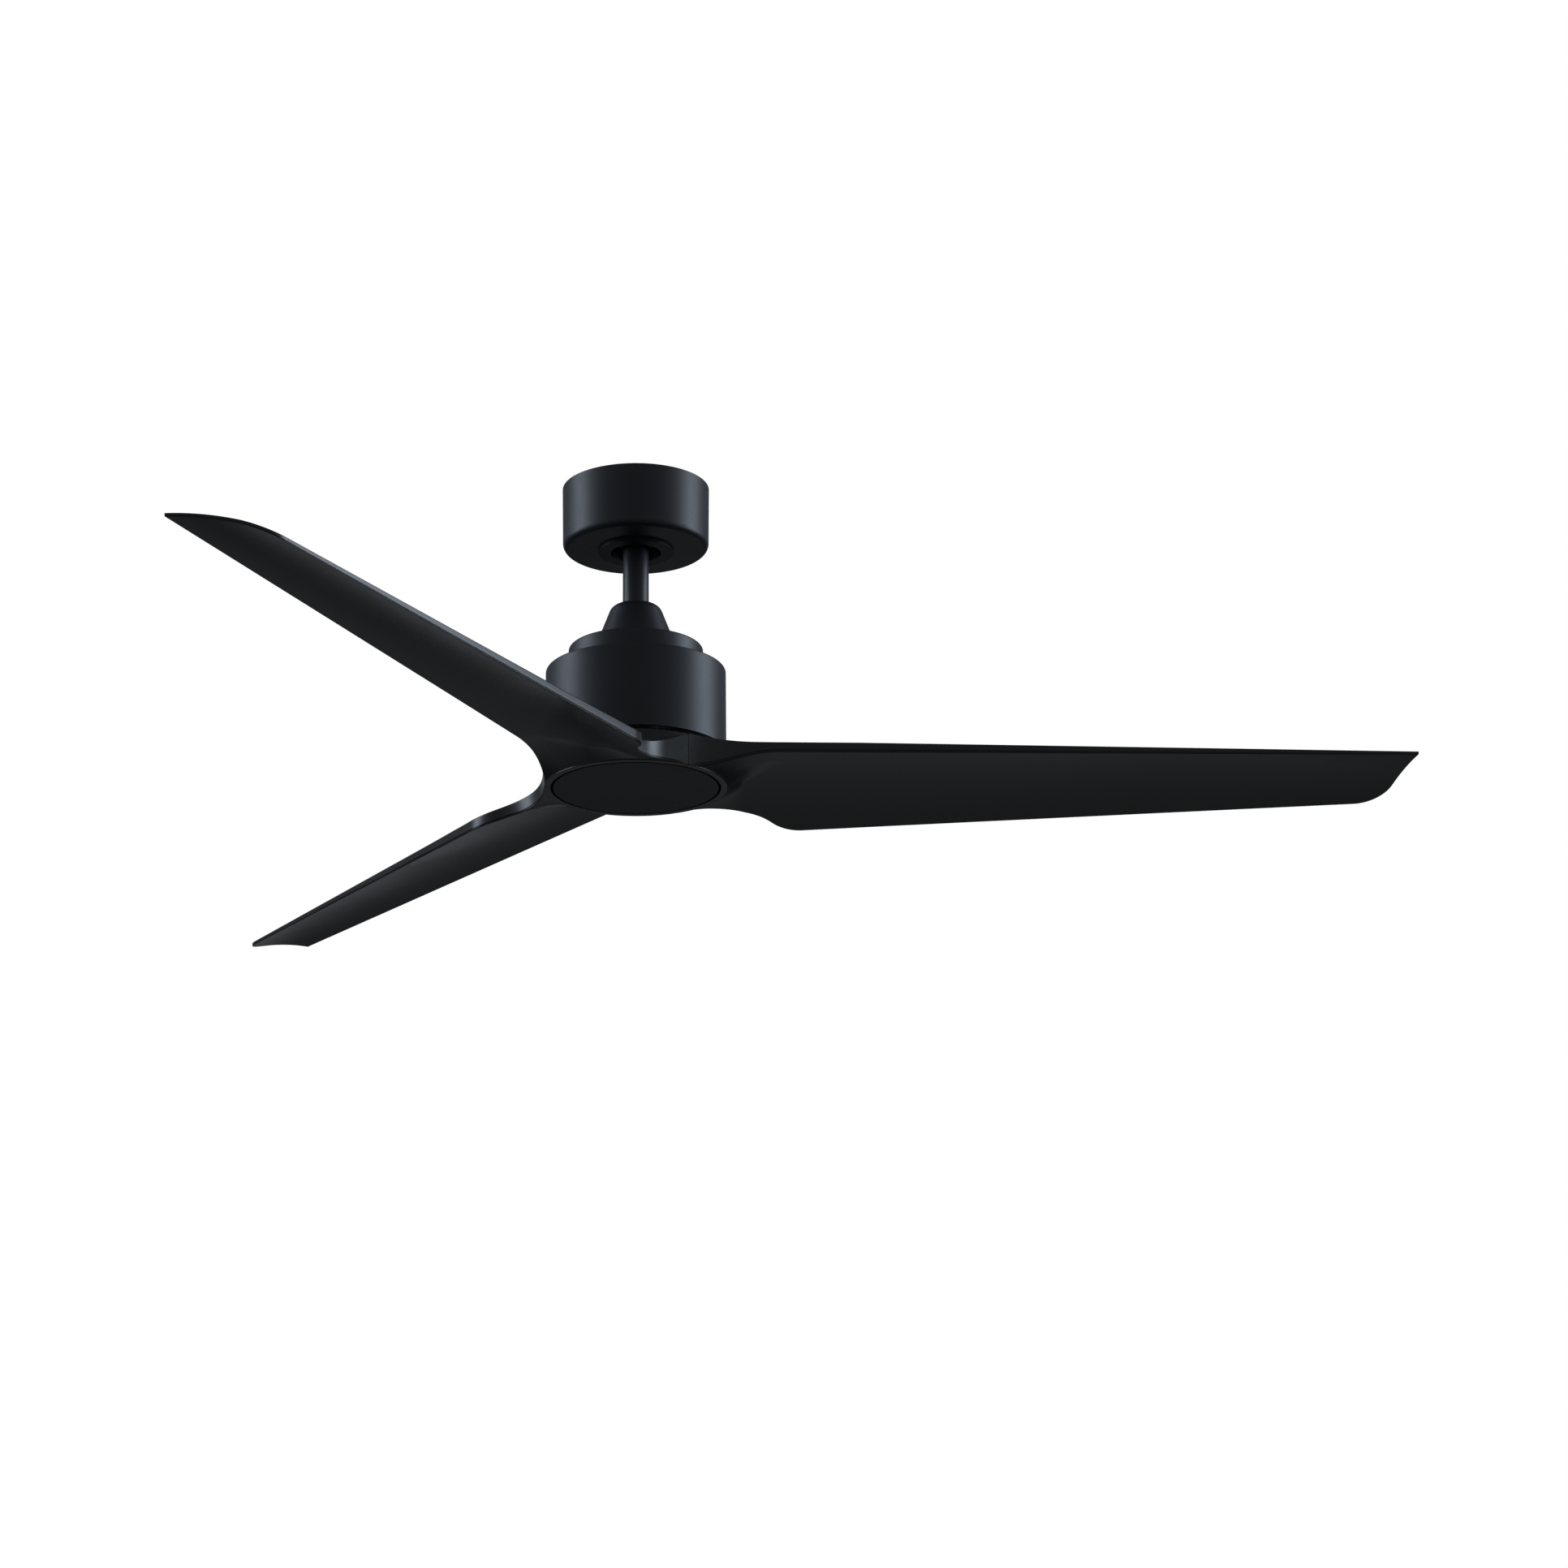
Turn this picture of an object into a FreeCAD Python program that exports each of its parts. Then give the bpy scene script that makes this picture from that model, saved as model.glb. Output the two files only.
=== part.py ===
"""Ceiling fan, 1524 mm span: ceiling bracket and canopy, hanging rod, motor, three moulded blades, blank cap.

Millimetres, +Z up.  The origin is the middle of the ceiling face of the hanger bracket, so the fan hangs
along -Z.  Motor heights are given upwards from the underside of the light cap, and up() turns them into Z.
"""
import FreeCAD, Part
import math
import os

# Ceiling side
CANOPY_TOP_R = 73.2
CANOPY_BOTTOM_R = 72.6
CANOPY_HEIGHT = 64.0
CANOPY_EDGE_R = 6.4
CANOPY_WALL = 1.2
CANOPY_OPENING_R = 27.0
CANOPY_SCREW_X = 32.0
RING_OUTER_R = 37.3
RING_INNER_R = 25.0
RING_BOTTOM = -67.4
BOX_HOLE_SPACING = 88.9
BOX_HOLE_R = 2.6
BRACKET_GAUGE = 2.5
BRACKET_LEG_X = 37.0
BRACKET_FOOT_X = 28.5

# Ball and rod
BALL_R = 22.0
BALL_Z = -44.0
SEAT_CLEARANCE = 0.3
ROD_R = 12.9
ROD_WALL = 1.8
ROD_TOP = -24.0
BALL_PIN_Z = -36.0
PIN_R = 2.5

# Heights of the motor, from the underside of the light cap upwards
CAP_DROP = 313.5
HOUSING_R = 88.9
HOUSING_WALL = 1.6
HOUSING_LOW = 36.6
HOUSING_TOP = 121.0
HOUSING_EDGE_R = 2.2
STEP_R = 66.5
STEP_TOP = 144.5
STEP_EDGE_R = 2.4
COVER_BASE_R = 41.0
COVER_TAPER = 0.381
COVER_TOP = 190.0
COVER_SHOULDER_R = 11.0
COVER_WALL = 1.5
COVER_SCREW_R = 2.0
SHAFT_R = 10.0
SHAFT_BORE_R = 7.5
ROD_END = 163.0
YOKE_PIN_H = 173.0
LEAD_R = 2.3
LEAD_Y = 4.95

# Hub and blades
HUB_R = 90.0
HUB_TOP = 33.6
ROOT_TOP = 32.4
SKIRT_OUTER_R = 86.8
SKIRT_INNER_R = 83.2
SKIRT_LOW = 0.8
SEAM_GAP_DEG = 0.1
WEB_LOW = 21.5
WEB_TOP = 27.5
CARRIER_TOP = 33.0
BLADE_COUNT = 3
FIRST_BLADE_DEG = 4.39
TIP_X = 760.0
PITCH_STATION = 238.0
EDGE_LEAD_Y = -64.1
EDGE_LEAD_SLOPE = -0.02114
EDGE_TRAIL_Y = 74.6
EDGE_TRAIL_SLOPE = -0.1177
MID_RISE = 6.84
DIHEDRAL = 0.00964
PITCH = 0.246
TWIST = 0.000019
CAMBER = 0.03
ROOT_THICKNESS = 9.5
TIP_THICKNESS = 3.4
BLADE_SCREW_R = 60.0

# Light cap
CAP_R = 81.5
PLATE_R = 76.0
PLATE_LOW = 8.0
PLATE_TOP = 10.0
RUNNING_FIT = 0.02


def up(height):
    """Z of a height above the underside of the light cap."""
    return height - CAP_DROP


def vec(x, y, z):
    return FreeCAD.Vector(x, y, z)


def rod(radius, low, high, x=0.0, y=0.0):
    """Upright solid cylinder between two Z levels."""
    return Part.makeCylinder(radius, high - low, vec(x, y, low))


def tube(outer, inner, low, high):
    """Upright tube about the fan's axis."""
    return rod(outer, low, high).cut(rod(inner, low - 1.0, high + 1.0))


def cross_rod(radius, start, length, z, direction="x", offset=0.0):
    """Level cylinder that starts at a distance along X or Y."""
    if direction == "x":
        return Part.makeCylinder(radius, length, vec(start, offset, z), vec(1, 0, 0))
    return Part.makeCylinder(radius, length, vec(offset, start, z), vec(0, 1, 0))


def block(x0, x1, y0, y1, z0, z1):
    return Part.makeBox(x1 - x0, y1 - y0, z1 - z0, vec(x0, y0, z0))


def turn(shape, degrees):
    """A copy turned about the fan's axis."""
    copy = shape.copy()
    copy.rotate(vec(0, 0, 0), vec(0, 0, 1), degrees)
    return copy


def spread(shape, count, start=0.0):
    """Copies spaced evenly about the fan's axis."""
    return [turn(shape, start + 360.0 * index / count) for index in range(count)]


def polar(radius, degrees):
    angle = math.radians(degrees)
    return radius * math.cos(angle), radius * math.sin(angle)


def sector(outer, inner, low, high, first, last):
    """Part of an upright tube between two angles."""
    wedge = Part.makeCylinder(outer, high - low, vec(0, 0, low), vec(0, 0, 1), last - first)
    return turn(wedge, first).cut(rod(inner, low - 1.0, high + 1.0))


def revolve(edges):
    """Solid of revolution from a closed loop of edges in the XZ plane."""
    face = Part.Face(Part.Wire(edges))
    return face.revolve(vec(0, 0, 0), vec(0, 0, 1), 360.0)


def line(r0, z0, r1, z1):
    return Part.makeLine(vec(r0, 0, z0), vec(r1, 0, z1))


def arc(start, middle, end):
    points = [vec(r, 0, z) for r, z in (start, middle, end)]
    return Part.Arc(*points).toShape()


def corner(centre, radius, degrees):
    """A point on a circle in the XZ plane, as (r, z)."""
    angle = math.radians(degrees)
    return centre[0] + radius * math.cos(angle), centre[1] + radius * math.sin(angle)


def screw(head_r, head_h, shank_r, length, x, y, z):
    """Pan head screw pointing up: the seat of its head is at Z, with the head below it."""
    head = rod(head_r, z - head_h, z, x, y)
    head = head.makeFillet(head_h * 0.4, [head.Edges[2]])
    recess = rod(head_r * 0.45, z - head_h - 1.0, z - head_h * 0.45, x, y)
    return head.cut(recess).fuse(rod(shank_r, z, z + length, x, y)).removeSplitter()


def flipped(shape, z):
    """A copy turned upside down about a level line at Z."""
    copy = shape.copy()
    copy.rotate(vec(0, 0, z), vec(1, 0, 0), 180.0)
    return copy


def hexagon(across_flats, low, high):
    radius = across_flats / math.sqrt(3.0)
    points = [vec(*polar(radius, 60.0 * index), low) for index in range(7)]
    return Part.Face(Part.makePolygon(points)).extrude(vec(0, 0, high - low))


# ---------------------------------------------------------------- ceiling side

def hanger_bracket():
    """Folded steel bracket: top plate, two legs, inward feet and a slotted cradle for the ball."""
    foot_low = -CANOPY_HEIGHT + CANOPY_WALL
    plate = block(-54, 54, -18, 18, -BRACKET_GAUGE, 0)
    shape = plate.makeFillet(6.0, [edge for edge in plate.Edges if abs(edge.Length - BRACKET_GAUGE) < 0.01])
    for side in (-1, 1):
        shape = shape.cut(rod(BOX_HOLE_R, -5, 5, side * BOX_HOLE_SPACING / 2))
        inner = side * BRACKET_LEG_X
        outer = side * (BRACKET_LEG_X + BRACKET_GAUGE)
        leg = block(min(inner, outer), max(inner, outer), -15, 15, foot_low, -BRACKET_GAUGE / 2)
        toe = side * BRACKET_FOOT_X
        foot = block(min(toe, outer), max(toe, outer), -8, 8, foot_low, foot_low + BRACKET_GAUGE)
        foot = foot.cut(rod(1.9, foot_low - 1, foot_low + 5, side * CANOPY_SCREW_X))
        shape = shape.fuse(leg).fuse(foot)
    cradle = block(-BRACKET_LEG_X - 1, BRACKET_LEG_X + 1, -26, 26, -55.5, -53.0)
    cradle = cradle.cut(Part.makeSphere(BALL_R + SEAT_CLEARANCE, vec(0, 0, BALL_Z)))
    cradle = cradle.cut(rod(ROD_R + 5.5, -60, -50))
    cradle = cradle.cut(block(-14.2, 14.2, 0, 30, -60, -50))
    lug = block(-2.5, 2.5, -22, -19.3, -55.5, -53.0)
    ground_hole = cross_rod(1.6, -45, 12, -30)
    return shape.fuse(cradle).fuse(lug).cut(ground_hole).removeSplitter()


def ground_screw():
    """Earthing screw through one leg of the bracket, with its head outside."""
    leg_face = -BRACKET_LEG_X - BRACKET_GAUGE
    head = cross_rod(3.5, leg_face - 2.0, 2.0, -30)
    return head.fuse(cross_rod(1.55, leg_face, 7.0, -30))


def canopy():
    """Pressed steel cup with a rounded lower edge, a centre opening and two screw holes."""
    low = -CANOPY_HEIGHT
    centre = (CANOPY_BOTTOM_R - CANOPY_EDGE_R, low + CANOPY_EDGE_R)
    inner_edge = CANOPY_EDGE_R - CANOPY_WALL
    flat = CANOPY_BOTTOM_R - CANOPY_EDGE_R
    loop = [
        line(CANOPY_TOP_R, 0, CANOPY_BOTTOM_R, centre[1]),
        arc((CANOPY_BOTTOM_R, centre[1]), corner(centre, CANOPY_EDGE_R, -45), (flat, low)),
        line(flat, low, CANOPY_OPENING_R, low),
        line(CANOPY_OPENING_R, low, CANOPY_OPENING_R, low + CANOPY_WALL),
        line(CANOPY_OPENING_R, low + CANOPY_WALL, flat, low + CANOPY_WALL),
        arc((flat, low + CANOPY_WALL), corner(centre, inner_edge, -45), (flat + inner_edge, centre[1])),
        line(flat + inner_edge, centre[1], CANOPY_TOP_R - CANOPY_WALL, 0),
        line(CANOPY_TOP_R - CANOPY_WALL, 0, CANOPY_TOP_R, 0),
    ]
    shell = revolve(loop)
    for side in (-1, 1):
        shell = shell.cut(rod(2.2, low - 1, low + 3, side * CANOPY_SCREW_X))
    return shell


def canopy_screws():
    screws = [screw(3.2, 2.2, 1.85, 6.5, side * CANOPY_SCREW_X, 0, -CANOPY_HEIGHT) for side in (-1, 1)]
    return Part.makeCompound(screws)


def canopy_ring():
    """Trim ring that snaps into the canopy's opening and hides its screws."""
    top = -CANOPY_HEIGHT
    flange = tube(RING_OUTER_R, RING_INNER_R, RING_BOTTOM, top)
    outer_edges = [edge for edge in flange.Edges if abs(edge.Length - 2 * math.pi * RING_OUTER_R) < 0.1]
    flange = flange.makeFillet(0.8, [edge for edge in outer_edges if edge.CenterOfMass.z < top - 1])
    flange = flange.cut(tube(35.7, 28.2, top - 2.5, top + 1))
    collar = tube(26.4, RING_INNER_R, top - 1.0, top + 2.6)
    lip = tube(27.6, 25.5, top + CANOPY_WALL + 0.1, top + 2.6)
    return flange.fuse(collar).fuse(lip).removeSplitter()


def receiver_case():
    """Radio receiver for the remote control: a shallow box closed by a lid."""
    outer = block(-29, 29, -40, 40, -15.2, -4.3)
    outer = outer.makeFillet(3.0, [edge for edge in outer.Edges if abs(edge.Length - 10.9) < 0.01])
    return outer.cut(block(-27.2, 27.2, -38.2, 38.2, -13.4, 0))


def receiver_lid():
    lid = block(-29, 29, -40, 40, -4.3, -BRACKET_GAUGE)
    return lid.makeFillet(3.0, [edge for edge in lid.Edges if abs(edge.Length - 1.8) < 0.01])


def receiver_board():
    board = block(-25, 25, -36, 36, -12.4, -10.8)
    relay = block(-20, -4, -28, -8, -10.8, -5.5)
    chip = block(4, 16, 5, 20, -10.8, -8.8)
    return board.fuse(relay).fuse(chip).removeSplitter()


def terminal_block():
    """Three-way terminal block on the end of the receiver, where the house wires go."""
    body = block(-15, 15, 40, 51, -14.5, -5.0)
    for x in (-9.5, 0.0, 9.5):
        body = body.cut(cross_rod(1.9, 43, 10, -10.5, "y", x))
        body = body.cut(rod(1.7, -20, -10.0, x, 45.5))
    return body


def terminal_screws():
    return Part.makeCompound([rod(1.6, -14.0, -10.2, x, 45.5) for x in (-9.5, 0.0, 9.5)])


# ---------------------------------------------------------------- ball, rod and coupling

def hanger_ball():
    """Half-round ball that rests in the cradle, with a keyed groove, a pin slot and a set screw hole."""
    ball = Part.makeSphere(BALL_R, vec(0, 0, BALL_Z))
    ball = ball.cut(rod(BALL_R + 5, BALL_Z + 17, BALL_Z + 40))
    ball = ball.cut(rod(ROD_R + 0.05, -80, 0))
    ball = ball.cut(block(-18.5, 18.5, -PIN_R - 0.1, PIN_R + 0.1, BALL_PIN_Z - PIN_R - 0.1, 0))
    groove = cross_rod(BALL_R + 2, -3.2, 6.4, BALL_Z).cut(cross_rod(BALL_R - 1.1, -4, 8, BALL_Z))
    groove = groove.common(block(-4, 4, -30, 0, -80, 0))
    return ball.cut(groove).cut(cross_rod(2.45, 5, 20, BALL_Z + 12, "y"))


def hanger_pin():
    return cross_rod(PIN_R, -18, 36, BALL_PIN_Z)


def ball_set_screw():
    return cross_rod(2.4, ROD_R + 0.02, 4.6, BALL_Z + 12, "y")


def downrod():
    """Steel tube with cross holes for the pin in the ball and the pin in the yoke."""
    shape = tube(ROD_R, ROD_R - ROD_WALL, up(ROD_END), ROD_TOP)
    shape = shape.cut(cross_rod(PIN_R + 0.1, -20, 40, BALL_PIN_Z))
    return shape.cut(cross_rod(PIN_R + 0.1, -20, 40, up(YOKE_PIN_H)))


def lead_bundle():
    """Motor and light leads down the middle of the rod and shaft, with the branch to the driver board."""
    trunk = rod(LEAD_R, up(PLATE_LOW), -31.0, 0, LEAD_Y)
    branch = cross_rod(1.8, 0, 25.0, up(133.0), "x", LEAD_Y)
    return trunk.fuse(branch).removeSplitter()


def lead_plug():
    """Plug on the top of the lead bundle, inside the end of the rod."""
    plug = block(-6.5, 6.5, 0.5, 8.5, -31, -18)
    return plug.makeFillet(1.0, [edge for edge in plug.Edges if abs(edge.Length - 13) < 0.01])


def yoke():
    """Steel coupling: flange on the motor, shaft socket below and rod socket above."""
    shape = rod(30, up(STEP_TOP), up(149.0)).fuse(rod(19, up(148.0), up(186.0)))
    shape = shape.cut(rod(SHAFT_R + RUNNING_FIT, up(140.0), up(162.0)))
    shape = shape.cut(rod(ROD_R + 0.05, up(161.0), up(190.0)))
    shape = shape.cut(cross_rod(PIN_R + 0.1, -25, 50, up(YOKE_PIN_H)))
    for side in (-1, 1):
        start = ROD_R if side > 0 else -ROD_R - 12
        shape = shape.cut(cross_rod(2.45, start, 12, up(181.0), "y"))
    for degrees in (30, 150, 270):
        shape = shape.cut(rod(2.1, up(140.0), up(150.0), *polar(25, degrees)))
    return shape.removeSplitter()


def yoke_pin():
    """Headed clevis pin through the yoke and the rod."""
    body = cross_rod(PIN_R, -19.2, 43.2, up(YOKE_PIN_H))
    head = cross_rod(4.6, -21.2, 2.0, up(YOKE_PIN_H))
    clip_hole = rod(0.9, up(YOKE_PIN_H) - 5, up(YOKE_PIN_H) + 5, 21.8)
    return body.fuse(head).cut(clip_hole).removeSplitter()


def yoke_clip():
    """Spring clip through the end of the clevis pin: one straight leg and one leg bowed round the pin."""
    z = up(YOKE_PIN_H)
    wire_r = 0.75
    leg_top = z + 5.4
    leg_low = z - 6.0
    far = 5.4
    path = Part.Wire([
        Part.makeLine(vec(21.8, 0, leg_low), vec(21.8, 0, leg_top)),
        Part.Arc(vec(21.8, 0, leg_top), vec(21.8, far / 2, leg_top + far / 2), vec(21.8, far, leg_top)).toShape(),
        Part.makeLine(vec(21.8, far, leg_top), vec(21.8, far, leg_low + 2.0)),
    ])
    profile = Part.Wire([Part.Circle(vec(21.8, 0, leg_low), vec(0, 0, 1), wire_r).toShape()])
    return path.makePipeShell([profile], True, False)


def yoke_set_screws():
    screws = [cross_rod(2.4, ROD_R + 0.02, 8.0, up(181.0), "y"), cross_rod(2.4, -ROD_R - 8.02, 8.0, up(181.0), "y")]
    return Part.makeCompound(screws)


def yoke_screws():
    """Screws that hold the yoke's flange to the motor's support plate through the step cover."""
    top = up(149.0)
    screws = []
    for degrees in (30, 150, 270):
        x, y = polar(25, degrees)
        head = rod(3.6, top, top + 2.6, x, y).cut(rod(1.6, top + 1.2, top + 4, x, y))
        screws.append(head.fuse(rod(2.0, up(136.0), top, x, y)).removeSplitter())
    return Part.makeCompound(screws)


def coupling_cover():
    """Conical cover over the yoke, with a rounded shoulder up to the rod."""
    base = up(STEP_TOP)
    top = up(COVER_TOP)
    slope = math.atan2(1.0, COVER_TAPER)
    corner_r = COVER_BASE_R - COVER_TAPER * (COVER_TOP - STEP_TOP)
    tangent = COVER_SHOULDER_R / math.tan((math.pi - slope) / 2)
    hole = ROD_R + 0.4

    def section(inset):
        """Outer line of the cover, moved inwards by the inset."""
        radius = COVER_SHOULDER_R - inset
        flat_r = corner_r - tangent
        centre = (flat_r, top - COVER_SHOULDER_R)
        side = corner(centre, radius, math.degrees(math.pi / 2 - slope))
        crown = corner(centre, radius, (90.0 + math.degrees(math.pi / 2 - slope)) / 2)
        foot_r = COVER_BASE_R - inset / math.sin(slope)
        return (hole, top - inset), (flat_r, top - inset), crown, side, (foot_r, base)

    outer = section(0.0)
    inner = section(COVER_WALL)
    loop = [
        line(*outer[0], *outer[1]),
        arc(outer[1], outer[2], outer[3]),
        line(*outer[3], *outer[4]),
        line(*outer[4], *inner[4]),
        line(*inner[4], *inner[3]),
        arc(inner[3], inner[2], inner[1]),
        line(*inner[1], *inner[0]),
        line(*inner[0], *outer[0]),
    ]
    return revolve(loop)


# ---------------------------------------------------------------- motor, fixed side

def step_cover():
    """Smaller drum on top of the motor housing that covers the driver board."""
    low = up(HOUSING_TOP)
    top = up(STEP_TOP)
    wall = 1.8
    centre = (STEP_R - STEP_EDGE_R, top - STEP_EDGE_R)
    inner_r = STEP_R - wall
    loop = [
        line(SHAFT_R + 0.3, top, centre[0], top),
        arc((centre[0], top), corner(centre, STEP_EDGE_R, 45), (STEP_R, centre[1])),
        line(STEP_R, centre[1], STEP_R, low),
        line(STEP_R, low, inner_r, low),
        line(inner_r, low, inner_r, top - 2.4),
        line(inner_r, top - 2.4, SHAFT_R + 0.3, top - 2.4),
        line(SHAFT_R + 0.3, top - 2.4, SHAFT_R + 0.3, top),
    ]
    shape = revolve(loop)
    for degrees in (0, 120, 240):
        x, y = polar(61.5, degrees)
        boss = rod(4.0, low, low + 14, x, y).common(rod(STEP_R - 0.5, low, top))
        shape = shape.fuse(boss).cut(rod(1.55, low - 1, low + 11, x, y))
    for degrees in (30, 150, 270):
        shape = shape.cut(rod(2.1, top - 5, top + 2, *polar(25, degrees)))
    return shape.removeSplitter()


def step_cover_screws():
    seat = up(HOUSING_TOP) - 2.0
    return Part.makeCompound([screw(3.2, 2.0, 1.5, 11, *polar(61.5, a), seat) for a in (0, 120, 240)])


def motor_housing():
    """Drum that surrounds the motor: open below, with a flat top under the step cover."""
    low = up(HOUSING_LOW)
    top = up(HOUSING_TOP)
    inner_r = HOUSING_R - HOUSING_WALL
    centre = (HOUSING_R - HOUSING_EDGE_R, top - HOUSING_EDGE_R)
    opening = 46.0
    loop = [
        line(opening, top, centre[0], top),
        arc((centre[0], top), corner(centre, HOUSING_EDGE_R, 45), (HOUSING_R, centre[1])),
        line(HOUSING_R, centre[1], HOUSING_R, low),
        line(HOUSING_R, low, inner_r, low),
        line(inner_r, low, inner_r, top - 2.0),
        line(inner_r, top - 2.0, opening, top - 2.0),
        line(opening, top - 2.0, opening, top),
    ]
    shape = revolve(loop)
    for degrees in (0, 120, 240):
        shape = shape.cut(rod(1.7, top - 5, top + 2, *polar(61.5, degrees)))
    return shape


def support_plate():
    """Plate and boss on the shaft that carry the covers."""
    shape = rod(34, up(138.0), up(142.1)).fuse(rod(16, up(128.5), up(138.0)))
    shape = shape.cut(rod(SHAFT_R + RUNNING_FIT, up(120.0), up(150.0)))
    shape = shape.cut(cross_rod(2.4, 0, 20, up(133.0), "x", LEAD_Y))
    for degrees in (30, 150, 270):
        shape = shape.cut(rod(COVER_SCREW_R + RUNNING_FIT, up(130.0), up(150.0), *polar(25, degrees)))
    return shape.removeSplitter()


def driver_board():
    """Ring-shaped circuit board that drives the motor."""
    shape = tube(55, 24, up(126.0), up(127.6))
    for degrees in (60, 180, 300):
        shape = shape.cut(rod(1.7, up(120.0), up(130.0), *polar(51, degrees)))
    return shape


def board_parts():
    """Capacitors, inductor and power chips on the driver board."""
    top = up(127.6)
    parts = [rod(6.0, top, top + 13.5, *polar(46, angle)) for angle in (95, 120, 145)]
    parts += [turn(block(30, 42, -5, 5, top, top + 5.0), angle) for angle in (215, 245, 275)]
    toroid = Part.makeTorus(6.5, 2.8, vec(*polar(45, 20), top + 2.8))
    socket = block(25, 33, -6, 6, top, top + 8.0)
    return Part.makeCompound(parts + [toroid, socket])


def board_posts():
    posts = []
    for degrees in (60, 180, 300):
        x, y = polar(51, degrees)
        posts.append(rod(3.2, up(HOUSING_TOP), up(126.0), x, y).fuse(rod(1.6, up(126.0), up(129.0), x, y)))
    return Part.makeCompound([post.removeSplitter() for post in posts])


def motor_shaft():
    """Fixed hollow shaft with a window for the board's leads."""
    shape = tube(SHAFT_R, SHAFT_BORE_R, up(11.0), up(160.5))
    return shape.cut(cross_rod(2.4, 3, 20, up(133.0), "x", LEAD_Y))


def stator_carrier():
    sleeve = tube(16, SHAFT_R + RUNNING_FIT, up(64.0), up(98.0))
    return sleeve.fuse(tube(24, 15, up(74.0), up(88.0))).removeSplitter()


def stator_core():
    """Stack of steel plates: a ring with twelve T-shaped teeth."""
    low = up(68.0)
    high = up(94.0)
    ring = tube(35, 24.02, low, high)
    tooth = block(33, 64, -4.5, 4.5, low, high)
    tip = sector(67.0, 63.0, low, high, -12.5, 12.5)
    for piece in spread(tooth.fuse(tip), 12):
        ring = ring.fuse(piece)
    return ring.removeSplitter()


def stator_windings():
    """Twelve copper coils, one on each tooth."""
    coil = block(37.5, 60.5, -8.6, 8.6, up(65.0), up(97.0))
    level = [edge for edge in coil.Edges if abs(edge.Length - 23.0) < 0.01]
    coil = coil.makeFillet(3.0, level)
    coil = coil.cut(block(30, 70, -4.7, 4.7, up(67.8), up(94.2)))
    return Part.makeCompound(spread(coil, 12))


def bearing_races(inner, outer):
    rings = [tube(outer, inner, up(low), up(low + 12.0)) for low in (48.0, 98.0)]
    return Part.makeCompound(rings)


def bearing_balls():
    """Nine balls for each bearing."""
    balls = []
    for middle in (54.0, 104.0):
        balls += spread(Part.makeSphere(1.5, vec(15.6, 0, up(middle))), 9)
    return Part.makeCompound(balls)


# ---------------------------------------------------------------- motor, turning side

def rotor_lower_shell():
    """Cast lower half of the rotor, with the lower bearing's seat."""
    shape = rod(79, up(44.0), up(81.0)).cut(rod(74.02, up(48.0), up(90.0)))
    shape = shape.fuse(rod(30, up(44.0), up(60.0)))
    shape = shape.cut(rod(21.0, up(48.0), up(70.0))).cut(rod(17.0, up(40.0), up(60.0)))
    for degrees in (0, 60, 120, 180, 240, 300):
        shape = shape.cut(rod(1.7, up(40.0), up(90.0), *polar(76.5, degrees)))
        shape = shape.cut(rod(1.9, up(40.0), up(57.0), *polar(25.5, degrees)))
    return shape.removeSplitter()


def rotor_upper_shell():
    """Cast upper half of the rotor, with the upper bearing's seat."""
    shape = rod(79, up(81.0), up(112.0)).cut(rod(74.02, up(70.0), up(108.0)))
    shape = shape.fuse(rod(27, up(98.0), up(112.0)))
    shape = shape.cut(rod(21.0, up(90.0), up(110.0))).cut(rod(17.0, up(100.0), up(120.0)))
    for degrees in (0, 60, 120, 180, 240, 300):
        shape = shape.cut(rod(1.7, up(70.0), up(120.0), *polar(76.5, degrees)))
        vent = sector(62, 40, up(100.0), up(120.0), degrees + 8, degrees + 52)
        shape = shape.cut(vent)
    return shape.removeSplitter()


def rotor_bolts():
    """Six long bolts that clamp the two rotor shells together."""
    bolts = []
    for degrees in (0, 60, 120, 180, 240, 300):
        bolt = screw(2.3, 2.2, 1.6, 66, *polar(76.5, degrees), up(112.0))
        bolts.append(flipped(bolt, up(112.0)))
    return Part.makeCompound(bolts)


def rotor_magnets():
    magnet = sector(71.0, 68.0, up(67.0), up(95.0), 1.2, 21.3)
    return Part.makeCompound(spread(magnet, 16))


def rotor_back_iron():
    return tube(74.0, 71.02, up(64.0), up(98.0))


def blade_carrier():
    """Disc that turns with the rotor and takes the three blade roots."""
    shape = rod(82.9, up(WEB_TOP), up(CARRIER_TOP)).fuse(rod(30, up(CARRIER_TOP), up(44.0)))
    shape = shape.cut(rod(14.0, up(20.0), up(50.0)))
    for degrees in (0, 60, 120, 180, 240, 300):
        shape = shape.cut(rod(2.1, up(20.0), up(50.0), *polar(25.5, degrees)))
    for x, y in blade_screw_places():
        shape = shape.cut(rod(2.45, up(20.0), up(40.0), x, y))
    return shape.removeSplitter()


def carrier_screws():
    places = [polar(25.5, degrees) for degrees in (0, 60, 120, 180, 240, 300)]
    return Part.makeCompound([screw(3.8, 3.0, 1.85, 28, x, y, up(WEB_TOP)) for x, y in places])


# ---------------------------------------------------------------- blades

def lead_line(x):
    """Y of the leading edge at a distance out along the blade."""
    return EDGE_LEAD_Y + (x - PITCH_STATION) * EDGE_LEAD_SLOPE


def trail_line(x):
    """Y of the trailing edge at a distance out along the blade."""
    return EDGE_TRAIL_Y + (x - PITCH_STATION) * EDGE_TRAIL_SLOPE


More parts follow.
